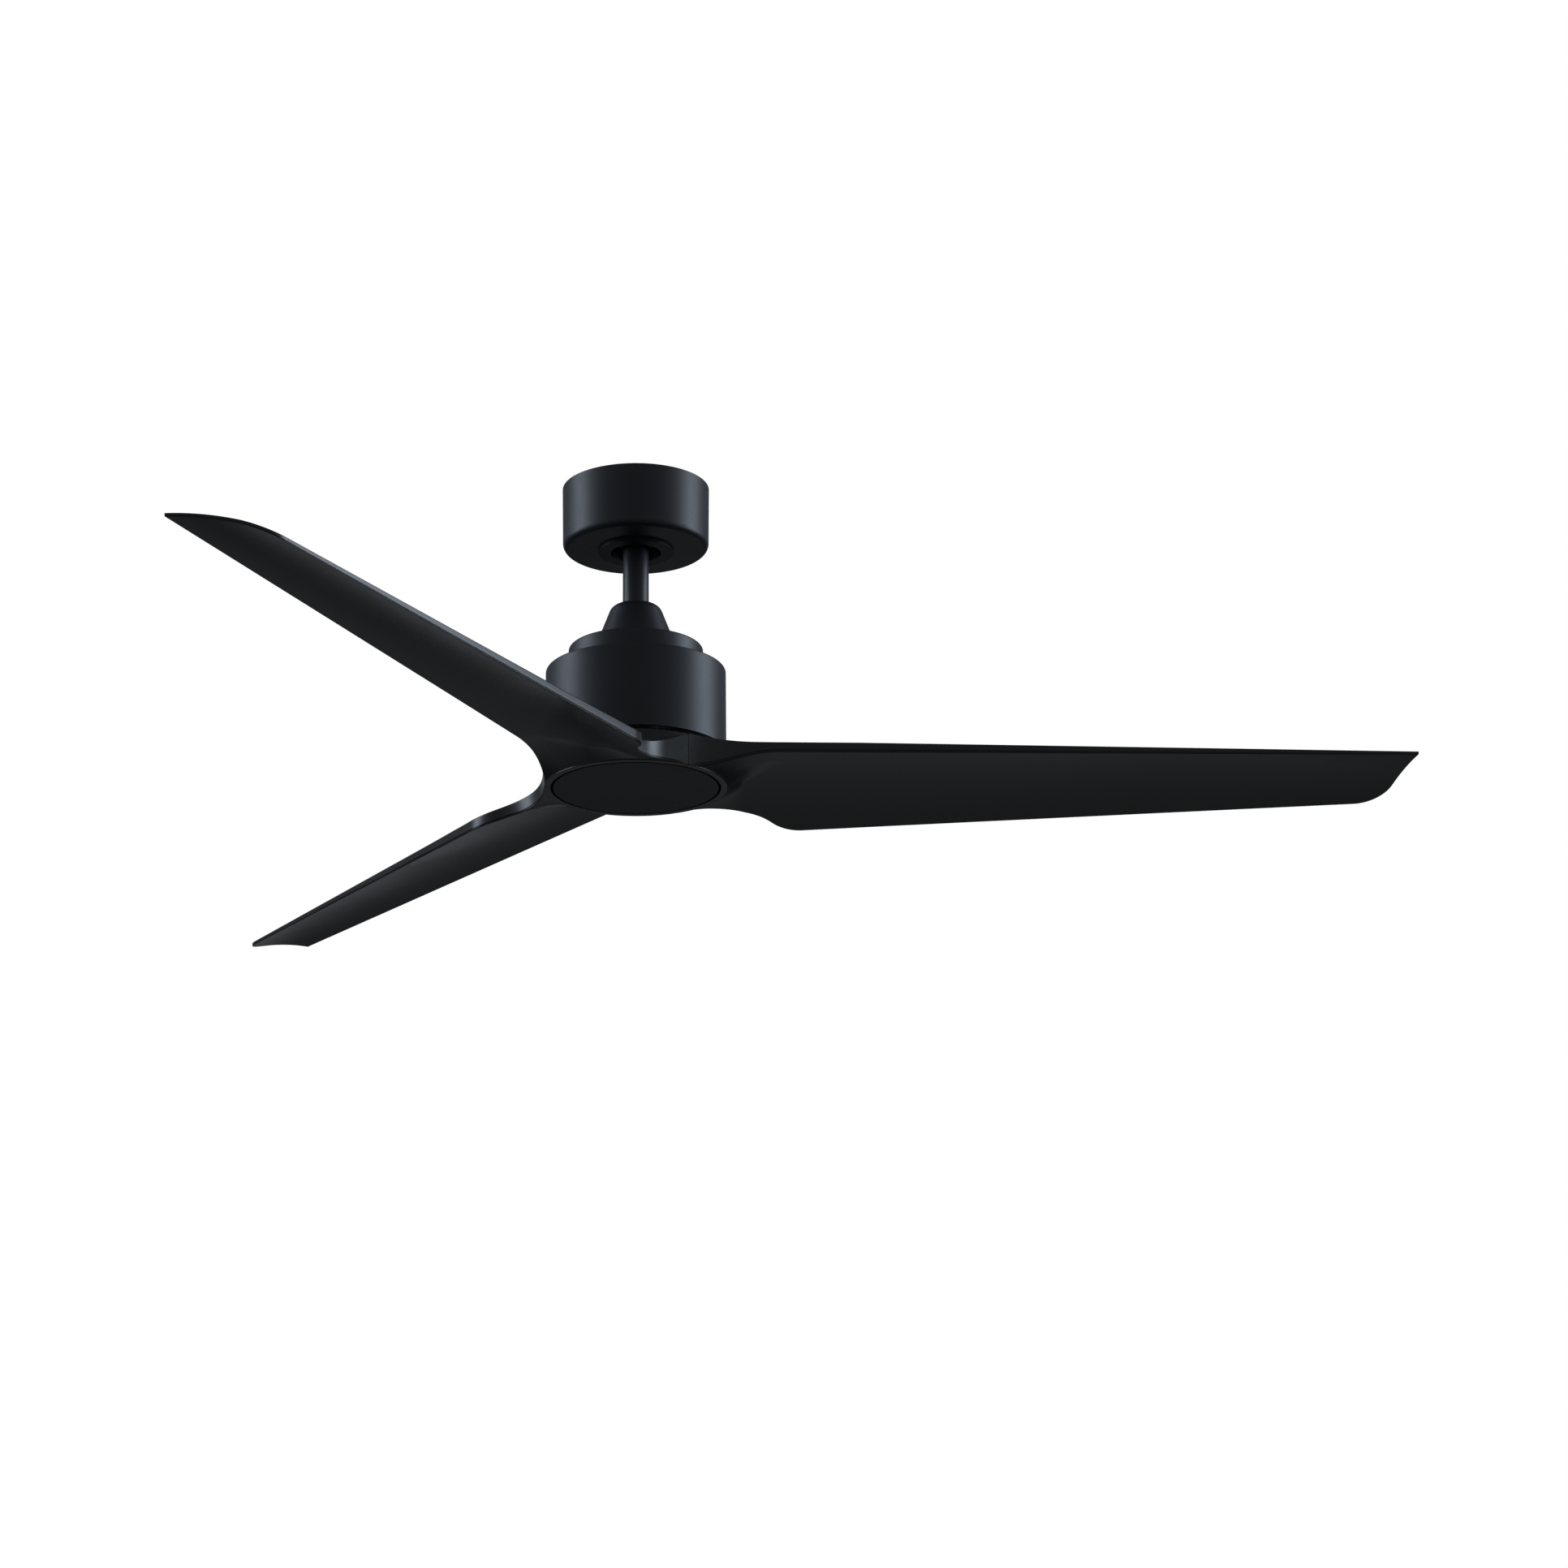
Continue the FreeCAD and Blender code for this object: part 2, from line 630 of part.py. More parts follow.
def pitched_plane(x, y):
    """Height of the underside of the pitched and cambered blade above the cap plane, away from the hub."""
    out = x - PITCH_STATION
    chord = trail_line(x) - lead_line(x)
    share = (y - lead_line(x)) / chord
    hollow = CAMBER * chord * 4.0 * share * (1.0 - share)
    return MID_RISE + out * DIHEDRAL - (PITCH - TWIST * out) * y + hollow


def underside(x, y):
    """Level with the cap at the hub, easing into the pitched plane over the next 60 mm."""
    share = min(max((math.hypot(x, y) - 88.0) / 60.0, 0.0), 1.0)
    return (1.0 - (1.0 - share) ** 2.2) * pitched_plane(x, y)


def topside(x, y):
    """The pitched plane raised by the blade's thickness, swept up to just below the hub's top near the root."""
    taper = (TIP_THICKNESS - ROOT_THICKNESS) / (TIP_X - PITCH_STATION)
    thickness = min(ROOT_THICKNESS + 0.3, ROOT_THICKNESS + taper * (x - PITCH_STATION))
    blade_top = pitched_plane(x, y) + thickness
    run = max(x - 38.0, 0.0) / 50.0
    sweep = (1.0 + run * run) ** -1.5
    return blade_top + (ROOT_TOP - blade_top) * sweep


def blade_surface(height):
    """Smooth face through a grid of heights, whose columns lie closer together near the hub."""
    columns = 34
    rows = 29
    first_x = 20.0
    first_step = 3.016
    growth = 0.098
    low_y = -135.0
    width = 250.0
    grid = []
    for i in range(columns):
        x = first_x + first_step * (math.exp(growth * i) - 1.0) / growth
        grid.append([vec(x, low_y + width * j / (rows - 1), 0.0) for j in range(rows)])
    for row in grid:
        for point in row:
            point.z = up(height(point.x, point.y))
    surface = Part.BSplineSurface()
    surface.interpolate(grid)
    return surface.toShape()


def blade_slab():
    """Solid between the underside and the topside over a rectangle larger than the blade."""
    lower = blade_surface(underside)
    upper = blade_surface(topside)
    walls = []
    for low_edge in lower.OuterWire.Edges:
        middle = low_edge.CenterOfMass
        high_edge = min(upper.OuterWire.Edges, key=lambda edge: math.hypot(edge.CenterOfMass.x - middle.x,
                                                                          edge.CenterOfMass.y - middle.y))
        walls.append(Part.makeRuledSurface(low_edge, high_edge))
    shell = Part.makeShell([lower, upper] + walls)
    shell.sewShape()
    return Part.makeSolid(shell)


def circle_meet(centre, radius, hub_radius):
    """Where a circle meets the hub's circle, on the side nearer the blade's axis."""
    distance = math.hypot(*centre)
    along = (hub_radius ** 2 - radius ** 2 + distance ** 2) / (2 * distance)
    across = math.sqrt(hub_radius ** 2 - along ** 2)
    unit = (centre[0] / distance, centre[1] / distance)
    return unit[0] * along + unit[1] * across, unit[1] * along - unit[0] * across


def on_circle(centre, radius, point_angle):
    return centre[0] + radius * math.cos(point_angle), centre[1] + radius * math.sin(point_angle)


def arc_between(centre, radius, first, last):
    """Level arc from one angle to another through the angle half way."""
    angles = (first, (first + last) / 2, last)
    return Part.Arc(*[vec(*on_circle(centre, radius, angle), 0) for angle in angles]).toShape()


def flat_line(first, last):
    return Part.makeLine(vec(*first, 0), vec(*last, 0))


def blade_outline():
    """Plan of one blade about its own axis, from the hub's circle out to the tip and back."""
    fillet_r = 140.0
    concave_centre = polar(151.2, 50.0)
    concave_r = 62.0
    nose_r = 42.0
    end_r = 38.0
    seam = math.radians(60.0 - SEAM_GAP_DEG)

    # Leading root: a hollow arc from the hub's seam to the leading edge
    base_y = lead_line(125.0) - fillet_r
    base_x = math.sqrt((HUB_R + fillet_r) ** 2 - base_y ** 2)
    hub_angle = math.atan2(base_y, base_x)
    lead_centre = (base_x, base_y)
    start_angle = hub_angle + math.pi
    if hub_angle < -seam:
        start_angle = math.atan2(-HUB_R * math.sin(seam) - base_y, HUB_R * math.cos(seam) - base_x)
    start = on_circle(lead_centre, fillet_r, start_angle)
    fillet_end = on_circle(lead_centre, fillet_r, math.pi / 2)
    tip = (TIP_X, lead_line(TIP_X))

    # Slanted end with a rounded trailing corner
    slant = math.atan2(58.5, -11.1)
    trail = math.pi + math.atan(EDGE_TRAIL_SLOPE)
    reach = (trail_line(TIP_X) - tip[1]) / (math.sin(slant) - EDGE_TRAIL_SLOPE * math.cos(slant))
    sharp = (tip[0] + reach * math.cos(slant), tip[1] + reach * math.sin(slant))
    inset = end_r * math.tan((trail - slant) / 2)
    round_start = (sharp[0] - inset * math.cos(slant), sharp[1] - inset * math.sin(slant))
    round_end = (sharp[0] + inset * math.cos(trail), sharp[1] + inset * math.sin(trail))
    end_centre = (round_start[0] - end_r * math.sin(slant), round_start[1] + end_r * math.cos(slant))

    # Trailing root: rounded nose, then a hollow arc back to the hub's circle
    normal = (math.sin(trail), -math.cos(trail))
    low_x, high_x = 120.0, 220.0
    for _ in range(50):
        nose_x = (low_x + high_x) / 2
        nose_centre = (nose_x - normal[0] * nose_r, trail_line(nose_x) - normal[1] * nose_r)
        gap = math.hypot(nose_centre[0] - concave_centre[0], nose_centre[1] - concave_centre[1])
        if gap < concave_r + nose_r:
            low_x = nose_x
        else:
            high_x = nose_x
    nose_start = math.atan2(normal[1], normal[0])
    nose_end = math.atan2(concave_centre[1] - nose_centre[1], concave_centre[0] - nose_centre[0])
    meet = circle_meet(concave_centre, concave_r, HUB_R)
    hollow_start = nose_end - math.pi
    hollow_end = math.atan2(meet[1] - concave_centre[1], meet[0] - concave_centre[0])
    nose_tip = on_circle(nose_centre, nose_r, nose_start)
    hub_start = math.atan2(meet[1], meet[0])

    inner_start = on_circle((0, 0), SKIRT_OUTER_R, seam)
    inner_end = on_circle((0, 0), SKIRT_OUTER_R, -seam)
    edges = [
        arc_between(lead_centre, fillet_r, start_angle % (2 * math.pi), math.pi / 2),
        flat_line(fillet_end, tip),
        flat_line(tip, round_start),
        arc_between(end_centre, end_r, slant - math.pi / 2, trail - math.pi / 2),
        flat_line(round_end, nose_tip),
        arc_between(nose_centre, nose_r, nose_start, nose_end),
        arc_between(concave_centre, concave_r, hollow_start, hollow_end),
        arc_between((0, 0), HUB_R, hub_start, seam),
        flat_line(on_circle((0, 0), HUB_R, seam), inner_start),
        arc_between((0, 0), SKIRT_OUTER_R, seam, -seam),
        flat_line(inner_end, start),
    ]
    return Part.Face(Part.Wire(edges))


def blade():
    """One moulded blade about the X axis: pitched panel, third of the hub skirt and screwed web."""
    outline = blade_outline()
    outline.translate(vec(0, 0, up(-60.0)))
    panel = blade_slab().common(outline.extrude(vec(0, 0, 140.0)))
    half = 60.0 - SEAM_GAP_DEG
    skirt = sector(SKIRT_OUTER_R, SKIRT_INNER_R, up(SKIRT_LOW), up(HUB_TOP), -half, half)
    web = sector(SKIRT_INNER_R + 1.0, 34.0, up(WEB_LOW), up(WEB_TOP), -half, half)
    shape = panel.fuse(skirt).fuse(web)
    for degrees in (-36, 0, 36):
        shape = shape.cut(rod(2.6, up(10.0), up(40.0), *polar(BLADE_SCREW_R, degrees)))
    return shape.removeSplitter()


def blade_screw_places():
    angles = [FIRST_BLADE_DEG + 120 * index + step for index in range(BLADE_COUNT) for step in (-36, 0, 36)]
    return [polar(BLADE_SCREW_R, angle) for angle in angles]


def blade_screws():
    seat = up(WEB_LOW) - 1.0
    return Part.makeCompound([screw(4.3, 2.8, 2.4, 12.0, x, y, seat) for x, y in blade_screw_places()])


def blade_washers():
    seat = up(WEB_LOW)
    washers = [rod(5.6, seat - 1.0, seat, x, y).cut(rod(2.6, seat - 2, seat + 1, x, y))
               for x, y in blade_screw_places()]
    return Part.makeCompound(washers)


# ---------------------------------------------------------------- light cap

def cap_plate():
    """Fixed plate screwed on the end of the shaft, with three notches and stops for the cap's lugs."""
    shape = rod(PLATE_R, up(PLATE_LOW), up(PLATE_TOP)).fuse(rod(18, up(PLATE_TOP), up(19.0)))
    shape = shape.cut(rod(SHAFT_R + RUNNING_FIT, up(11.0), up(20.0))).cut(rod(7.6, up(0.0), up(12.0)))
    notch = sector(PLATE_R + 1, 71.5, up(PLATE_LOW - 1), up(PLATE_TOP + 1), 12, 30)
    stop = sector(PLATE_R, 71.5, up(PLATE_TOP), up(12.0), -12.5, -7.5)
    for piece in spread(notch, 3):
        shape = shape.cut(piece)
    for piece in spread(stop, 3):
        shape = shape.fuse(piece)
    return shape.removeSplitter()


def plate_nut():
    return hexagon(27.0, up(19.0), up(24.0)).cut(rod(SHAFT_R + RUNNING_FIT, up(10.0), up(30.0)))


def light_connector():
    """Capped plug for a light, clipped under the plate."""
    plug = block(-10, 10, -6, 9, up(3.2), up(PLATE_LOW))
    return plug.makeFillet(1.2, [edge for edge in plug.Edges if abs(edge.Length - 4.8) < 0.01])


def light_cap():
    """Blank twist-on cap: disc, rim and three inward lugs."""
    disc = rod(CAP_R, up(0.0), up(2.6))
    disc = disc.makeFillet(0.9, [edge for edge in disc.Edges if abs(edge.CenterOfMass.z - up(0.0)) < 0.01])
    rim = tube(80.4, 77.5, up(2.0), up(12.0))
    lug = sector(78.5, 72.2, up(10.5), up(12.0), -7, 7)
    shape = disc.fuse(rim)
    for piece in spread(lug, 3):
        shape = shape.fuse(piece)
    return shape.removeSplitter()


def save(name, shape):
    """Write one node's STEP file after checking that its solids are sound."""
    if not shape.isValid() or not shape.Solids:
        raise ValueError(name + " is not a sound solid")
    print(name, len(shape.Solids), "solids", round(shape.Volume / 1000.0, 2), "cm3")
    shape.exportStep("parts/" + name + ".step")


def main():
    os.makedirs("parts", exist_ok=True)
    makers = [hanger_bracket, ground_screw, canopy, canopy_screws, canopy_ring]
    makers += [receiver_case, receiver_lid, receiver_board, terminal_block, terminal_screws]
    makers += [hanger_ball, hanger_pin, ball_set_screw, downrod, lead_bundle, lead_plug]
    makers += [yoke, yoke_pin, yoke_clip, yoke_set_screws, yoke_screws, coupling_cover]
    makers += [step_cover, step_cover_screws, motor_housing, support_plate]
    makers += [driver_board, board_parts, board_posts, motor_shaft]
    makers += [stator_carrier, stator_core, stator_windings, bearing_balls]
    makers += [rotor_lower_shell, rotor_upper_shell, rotor_bolts, rotor_magnets, rotor_back_iron]
    makers += [blade_carrier, carrier_screws, blade_screws, blade_washers]
    makers += [cap_plate, plate_nut, light_connector, light_cap]
    for maker in makers:
        save(maker.__name__, maker())
    save("bearing_inner_races", bearing_races(SHAFT_R + RUNNING_FIT, 13.8))
    save("bearing_outer_races", bearing_races(17.4, 20.98))
    one_blade = blade()
    for index in range(BLADE_COUNT):
        save("blade_%d" % (index + 1), turn(one_blade, FIRST_BLADE_DEG + 360.0 * index / BLADE_COUNT))


main()
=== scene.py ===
"""Ceiling fan: looks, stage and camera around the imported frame, laid out as an add-on and run as a script.

Metres, +Z up, the origin in the middle of the bracket's face at the ceiling.
"""

import math

import bpy
import numpy as np
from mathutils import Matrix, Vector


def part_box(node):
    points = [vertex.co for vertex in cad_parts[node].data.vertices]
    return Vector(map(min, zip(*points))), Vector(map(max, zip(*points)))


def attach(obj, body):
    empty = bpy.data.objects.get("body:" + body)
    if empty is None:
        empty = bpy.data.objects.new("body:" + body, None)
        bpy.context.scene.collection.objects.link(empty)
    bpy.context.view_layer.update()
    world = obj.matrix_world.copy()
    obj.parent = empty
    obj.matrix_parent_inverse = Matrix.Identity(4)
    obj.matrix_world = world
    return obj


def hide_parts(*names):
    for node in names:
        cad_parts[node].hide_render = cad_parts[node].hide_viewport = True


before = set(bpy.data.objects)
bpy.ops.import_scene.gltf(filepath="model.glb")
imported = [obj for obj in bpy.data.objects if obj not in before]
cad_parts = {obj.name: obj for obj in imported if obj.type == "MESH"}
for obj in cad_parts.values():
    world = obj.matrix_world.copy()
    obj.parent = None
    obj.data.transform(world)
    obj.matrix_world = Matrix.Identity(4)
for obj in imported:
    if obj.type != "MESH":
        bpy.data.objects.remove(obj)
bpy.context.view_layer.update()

bl_info = {
    "name": "Ceiling fan",
    "version": (1, 0, 0),
    "blender": (4, 5, 0),
    "location": "3D View > Sidebar > Ceiling fan",
    "description": "Blades, covers, finishes, stage and camera of a three-blade ceiling fan",
    "category": "Object",
}

MM = 0.001
TURNING_BODY = "rotor_and_blades"
CAP_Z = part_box("light_cap")[0].z


# ---------------------------------------------------------------- settings

class FanBladeSettings(bpy.types.PropertyGroup):
    """Sizes of one moulded blade."""
    first_angle: bpy.props.FloatProperty(
        name="First blade", description="Turn of the first blade from +X",
        default=math.radians(4.39), subtype="ANGLE")
    tip: bpy.props.FloatProperty(
        name="Tip", description="Distance from the axis to the blade's tip",
        default=762 * MM, unit="LENGTH")
    root_thickness: bpy.props.FloatProperty(
        name="Root thickness", description="Height of the edge band near the hub",
        default=9.5 * MM, unit="LENGTH")
    tip_thickness: bpy.props.FloatProperty(
        name="Tip thickness", description="Height of the edge band at the tip",
        default=3.4 * MM, unit="LENGTH")
    pitch: bpy.props.FloatProperty(
        name="Pitch", description="Fall of the blade across its width, as a slope",
        default=0.246)
    bead: bpy.props.FloatProperty(
        name="Edge bead", description="Radius of the bead under the edge band",
        default=1.3 * MM, unit="LENGTH")


class FanFinishSettings(bpy.types.PropertyGroup):
    """Colours of the finishes that show."""
    paint: bpy.props.FloatVectorProperty(
        name="Painted metal", description="Colour of the powder coat",
        default=(0.0095, 0.0110, 0.0150), subtype="COLOR", size=3)
    blade: bpy.props.FloatVectorProperty(
        name="Blades", description="Colour of the moulded blades",
        default=(0.0118, 0.0119, 0.0124), subtype="COLOR", size=3)
    plastic: bpy.props.FloatVectorProperty(
        name="Cap and ring", description="Colour of the small black mouldings",
        default=(0.0055, 0.0056, 0.0075), subtype="COLOR", size=3)


class FanStageSettings(bpy.types.PropertyGroup):
    """Camera and lights."""
    camera_distance: bpy.props.FloatProperty(
        name="Camera distance", description="From the camera to the cap",
        default=4.395, unit="LENGTH")
    camera_rise: bpy.props.FloatProperty(
        name="Camera rise", description="How far the camera looks up",
        default=math.radians(17.88), subtype="ANGLE")
    side_light: bpy.props.FloatProperty(
        name="Side lights", description="Power of each side softbox",
        default=49.0, unit="POWER")
    low_light: bpy.props.FloatProperty(
        name="Low light", description="Power of the wide light under the fan",
        default=10.0, unit="POWER")
    floor_drop: bpy.props.FloatProperty(
        name="Floor", description="Height of the ceiling over the floor",
        default=2.6, unit="LENGTH")


# ---------------------------------------------------------------- meshes

def grid_faces(rows, columns, wrap_rows=False, wrap_columns=False, first=0):
    """Quads of a grid of vertices numbered row by row, closed round either way if asked."""
    row = np.arange(rows if wrap_rows else rows - 1)
    column = np.arange(columns if wrap_columns else columns - 1)
    r, c = np.meshgrid(row, column, indexing="ij")
    next_r = (r + 1) % rows
    next_c = (c + 1) % columns
    corners = ((r, c), (r, next_c), (next_r, next_c), (next_r, c))
    return np.stack([down * columns + along for down, along in corners], -1).reshape(-1, 4) + first


def outward(points, quads):
    """The quads turned, if need be, so that the volume they enclose, the sum of a dot (b cross c) over their
    triangles, is positive."""
    about = points - points.mean(0)
    a, b, c, d = (about[quads[:, i]] for i in range(4))
    volume = np.einsum("ij,ij->", a, np.cross(b, c)) + np.einsum("ij,ij->", a, np.cross(c, d))
    return quads if volume > 0 else quads[:, ::-1]


def add_piece(name, shells, material, body, replaced):
    """Object from closed shells, each its points, its quads and the loops that close its ends. Its place is
    in its mesh. An edge that turns by more than 38 degrees stays sharp."""
    points = []
    faces = []
    count = 0
    for shell_points, shell_quads, ends in shells:
        points.append(shell_points)
        quads = outward(shell_points, shell_quads)
        faces += (quads + count).tolist()
        turned = not np.array_equal(quads, shell_quads)
        faces += [((end[::-1] if turned else end) + count).tolist() for end in ends]
        count += len(shell_points)
    mesh = bpy.data.meshes.new(name)
    mesh.from_pydata(np.concatenate(points).tolist(), [], faces)
    mesh.validate()
    mesh.polygons.foreach_set("use_smooth", np.ones(len(mesh.polygons), bool))
    mesh.set_sharp_from_angle(angle=math.radians(38))
    mesh.materials.append(material)
    piece = bpy.data.objects.new(name, mesh)
    bpy.context.scene.collection.objects.link(piece)
    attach(piece, body)
    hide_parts(*replaced)


# ---------------------------------------------------------------- blade surfaces

# In millimetres: X out along the blade, Y towards its trailing side, heights up from the underside of the
# cap. The station is the place along X that the blade's heights, widths and taper are given at.
STATION = 238.0
TAPER_END = 760.0
STATION_Z = 6.84
RISE = 0.00964
TWIST = 0.000019
CAMBER = 0.042
LEAD_Y, LEAD_SLOPE = -64.1, -0.02114
TRAIL_Y, TRAIL_SLOPE = 74.6, -0.1177

HUB_R = 90.0
HUB_TOP = 33.6
ROOT_TOP = 32.4
RING_LIP = 0.9
SKIRT_OUTER_R = 86.8
SKIRT_INNER_R = 83.2
PANEL_INNER_R = 84.6
WEB_INNER_R = 34.0
WEB_LOW, WEB_HIGH = 21.5, 27.5
SEAM = math.radians(59.8)


def lead_line(x):
    """Y of the leading edge: a straight line."""
    return LEAD_Y + (x - STATION) * LEAD_SLOPE


def trail_line(x):
    """Y of the trailing edge: a straight line."""
    return TRAIL_Y + (x - STATION) * TRAIL_SLOPE


def pitched_plane(x, y, settings):
    """Height of the pitched blade: a gentle rise along X, less the fall across Y, which twist makes gentler
    outwards, plus the camber, which is a parabola across the chord, nought at both edges."""
    out = x - STATION
    chord = trail_line(x) - lead_line(x)
    share = (y - lead_line(x)) / chord
    fall = (settings.pitch - TWIST * out) * y
    return STATION_Z + out * RISE - fall + CAMBER * chord * 4 * share * (1 - share)


def underside(x, y, settings):
    """Level inside the hub, then eases into the pitched plane by a power of the way left to go. The way is
    longer, and the power higher, towards the leading side. Towards the other, the way grows as a cube."""
    lead_width, trail_width = 40.0, 54.0
    least_reach, lead_reach, trail_reach = 19.0, 42.0, 16.0
    least_power, added_power, power_start = 1.12, 1.1, 0.35
    leading = np.clip(-y / lead_width, 0, 1)
    trailing = np.clip(y, 0, 60) / trail_width
    reach = least_reach + trail_reach * trailing ** 3 + lead_reach * leading
    share = np.clip((np.hypot(x, y) - HUB_R) / reach, 0, 1)
    power = least_power + added_power * np.clip(power_start - y / lead_width, 0, 1)
    return RING_LIP + (1 - (1 - share) ** power) * (pitched_plane(x, y, settings) - RING_LIP)


def thickness(x, settings):
    """Straight taper from the root's thickness at the station to the tip's, and hardly more inwards."""
    root = settings.root_thickness / MM
    tip = settings.tip_thickness / MM
    return np.minimum(root + 0.3, root + (tip - root) / (TAPER_END - STATION) * (x - STATION))


def topside(x, y, settings):
    """The pitched plane plus the thickness, swept up to the hub with a bell curve of the distance out."""
    sweep_start, sweep_width = 38.0, 50.0
    blade_top = pitched_plane(x, y, settings) + thickness(x, settings)
    run = np.maximum(x - sweep_start, 0) / sweep_width
    return blade_top + (ROOT_TOP - blade_top) * (1 + run * run) ** -1.5


def arc_points(centre, radius, first, last, count):
    """Evenly spaced points of an arc from one angle to another."""
    angle = np.linspace(first, last, count)
    return np.stack([centre[0] + radius * np.cos(angle), centre[1] + radius * np.sin(angle)], -1)


def line_points(first, last, count):
    """Evenly spaced points of a straight line."""
    share = np.linspace(0, 1, count)[:, None]
    return np.array(first) * (1 - share) + np.array(last) * share


def even(points, count, crowd):
    """The same path at a set number of points, crowded towards its start by a power of the way along it."""
    step = np.linalg.norm(np.diff(points, axis=0), axis=1)
    along = np.concatenate([[0], np.cumsum(step)])
    wanted = np.linspace(0, 1, count) ** crowd * along[-1]
    return np.stack([np.interp(wanted, along, points[:, i]) for i in range(2)], -1)


def meet(fixed, fixed_r, roll_r, normal):
    """Centre of a circle that touches the trailing line and a fixed circle, found by halving, fifty times,
    the stretch of the line that it touches on. The normal is the line's, away from the circle."""
    low, high = 120.0, 220.0
    for _ in range(50):
        x = (low + high) / 2
        centre = (x - normal[0] * roll_r, trail_line(x) - normal[1] * roll_r)
        if math.hypot(centre[0] - fixed[0], centre[1] - fixed[1]) < fixed_r + roll_r:
            low = x
        else:
            high = x
    return centre


def blade_sides(tip_x):
    """Leading side, end and trailing side of the blade's plan, each a path out from the hub or across."""

    # Leading side: a hollow arc off the hub's circle at the seam, then a straight line
    fillet_r = 140.0
    base_y = lead_line(125.0) - fillet_r
    base_x = math.sqrt((HUB_R + fillet_r) ** 2 - base_y ** 2)
    seam_angle = math.atan2(-HUB_R * math.sin(SEAM) - base_y, HUB_R * math.cos(SEAM) - base_x)
    fillet = arc_points((base_x, base_y), fillet_r, seam_angle, math.pi / 2, 60)
    tip = (tip_x, lead_line(tip_x))
    leading = np.concatenate([fillet, line_points(fillet[-1], tip, 200)[1:]])

    # End: a slanted line from the sharp tip, with its trailing corner rounded. It takes half of the corner.
    end_r = 38.0
    slant = math.atan2(58.5, -11.1)
    trail = math.pi + math.atan(TRAIL_SLOPE)
    reach = (trail_line(tip_x) - tip[1]) / (math.sin(slant) - TRAIL_SLOPE * math.cos(slant))
    sharp = (tip[0] + reach * math.cos(slant), tip[1] + reach * math.sin(slant))
    inset = end_r * math.tan((trail - slant) / 2)
    start = (sharp[0] - inset * math.cos(slant), sharp[1] - inset * math.sin(slant))
    centre = (start[0] - end_r * math.sin(slant), start[1] + end_r * math.cos(slant))
    corner = arc_points(centre, end_r, slant - math.pi / 2, trail - math.pi / 2, 60)
    half = 30
    end = np.concatenate([line_points(tip, start, 60), corner[1:half]])

    # Trailing side: a line touching the hub's circle at the seam, a hollow arc, a nose, a straight line out
    hollow_r = 62.0
    nose_r = 42.0
    flat = 26.2
    out = HUB_R + hollow_r
    hollow = (out * math.cos(SEAM) + flat * math.sin(SEAM), out * math.sin(SEAM) - flat * math.cos(SEAM))
    normal = (math.sin(trail), -math.cos(trail))
    nose = meet(hollow, hollow_r, nose_r, normal)
    touch = math.atan2(hollow[1] - nose[1], hollow[0] - nose[0])
    hollow_arc = arc_points(hollow, hollow_r, SEAM - math.pi, touch - math.pi, 80)
    wall = line_points((HUB_R * math.cos(SEAM), HUB_R * math.sin(SEAM)), hollow_arc[0], 20)
    nose_arc = arc_points(nose, nose_r, touch, math.atan2(normal[1], normal[0]), 30)
    straight = line_points(nose_arc[-1], corner[-1], 160)
    trailing = np.concatenate([wall, hollow_arc[1:], nose_arc[1:], straight[1:], corner[half - 1:-1][::-1]])
    return leading, end, trailing


def coons(leading, trailing, root, end):
    """Plan grid that fills four sides: the ruled surface between the two long sides, plus how far the root
    and the end stand off its straight rows, fading away from each of them by the cube of the distance."""
    rows, columns = len(leading), len(root)
    t = np.linspace(0, 1, columns)[None, :, None]
    s = np.linspace(0, 1, rows)[:, None, None]
    ruled = leading[:, None] * (1 - t) + trailing[:, None] * t
    root_off = root[None] - ruled[:1]
    end_off = end[None] - ruled[-1:]
    return ruled + (1 - s) ** 3 * root_off + s ** 3 * end_off


def inward(loop, amount):
    """A closed plan path moved in by an amount at each point, along its normal."""
    ahead = np.roll(loop, -1, 0) - loop
    back = loop - np.roll(loop, 1, 0)
    tangent = ahead / np.linalg.norm(ahead, axis=1)[:, None] + back / np.linalg.norm(back, axis=1)[:, None]
    tangent /= np.linalg.norm(tangent, axis=1)[:, None]
    normal = np.stack([-tangent[:, 1], tangent[:, 0]], -1)
    return loop + normal * amount[:, None]


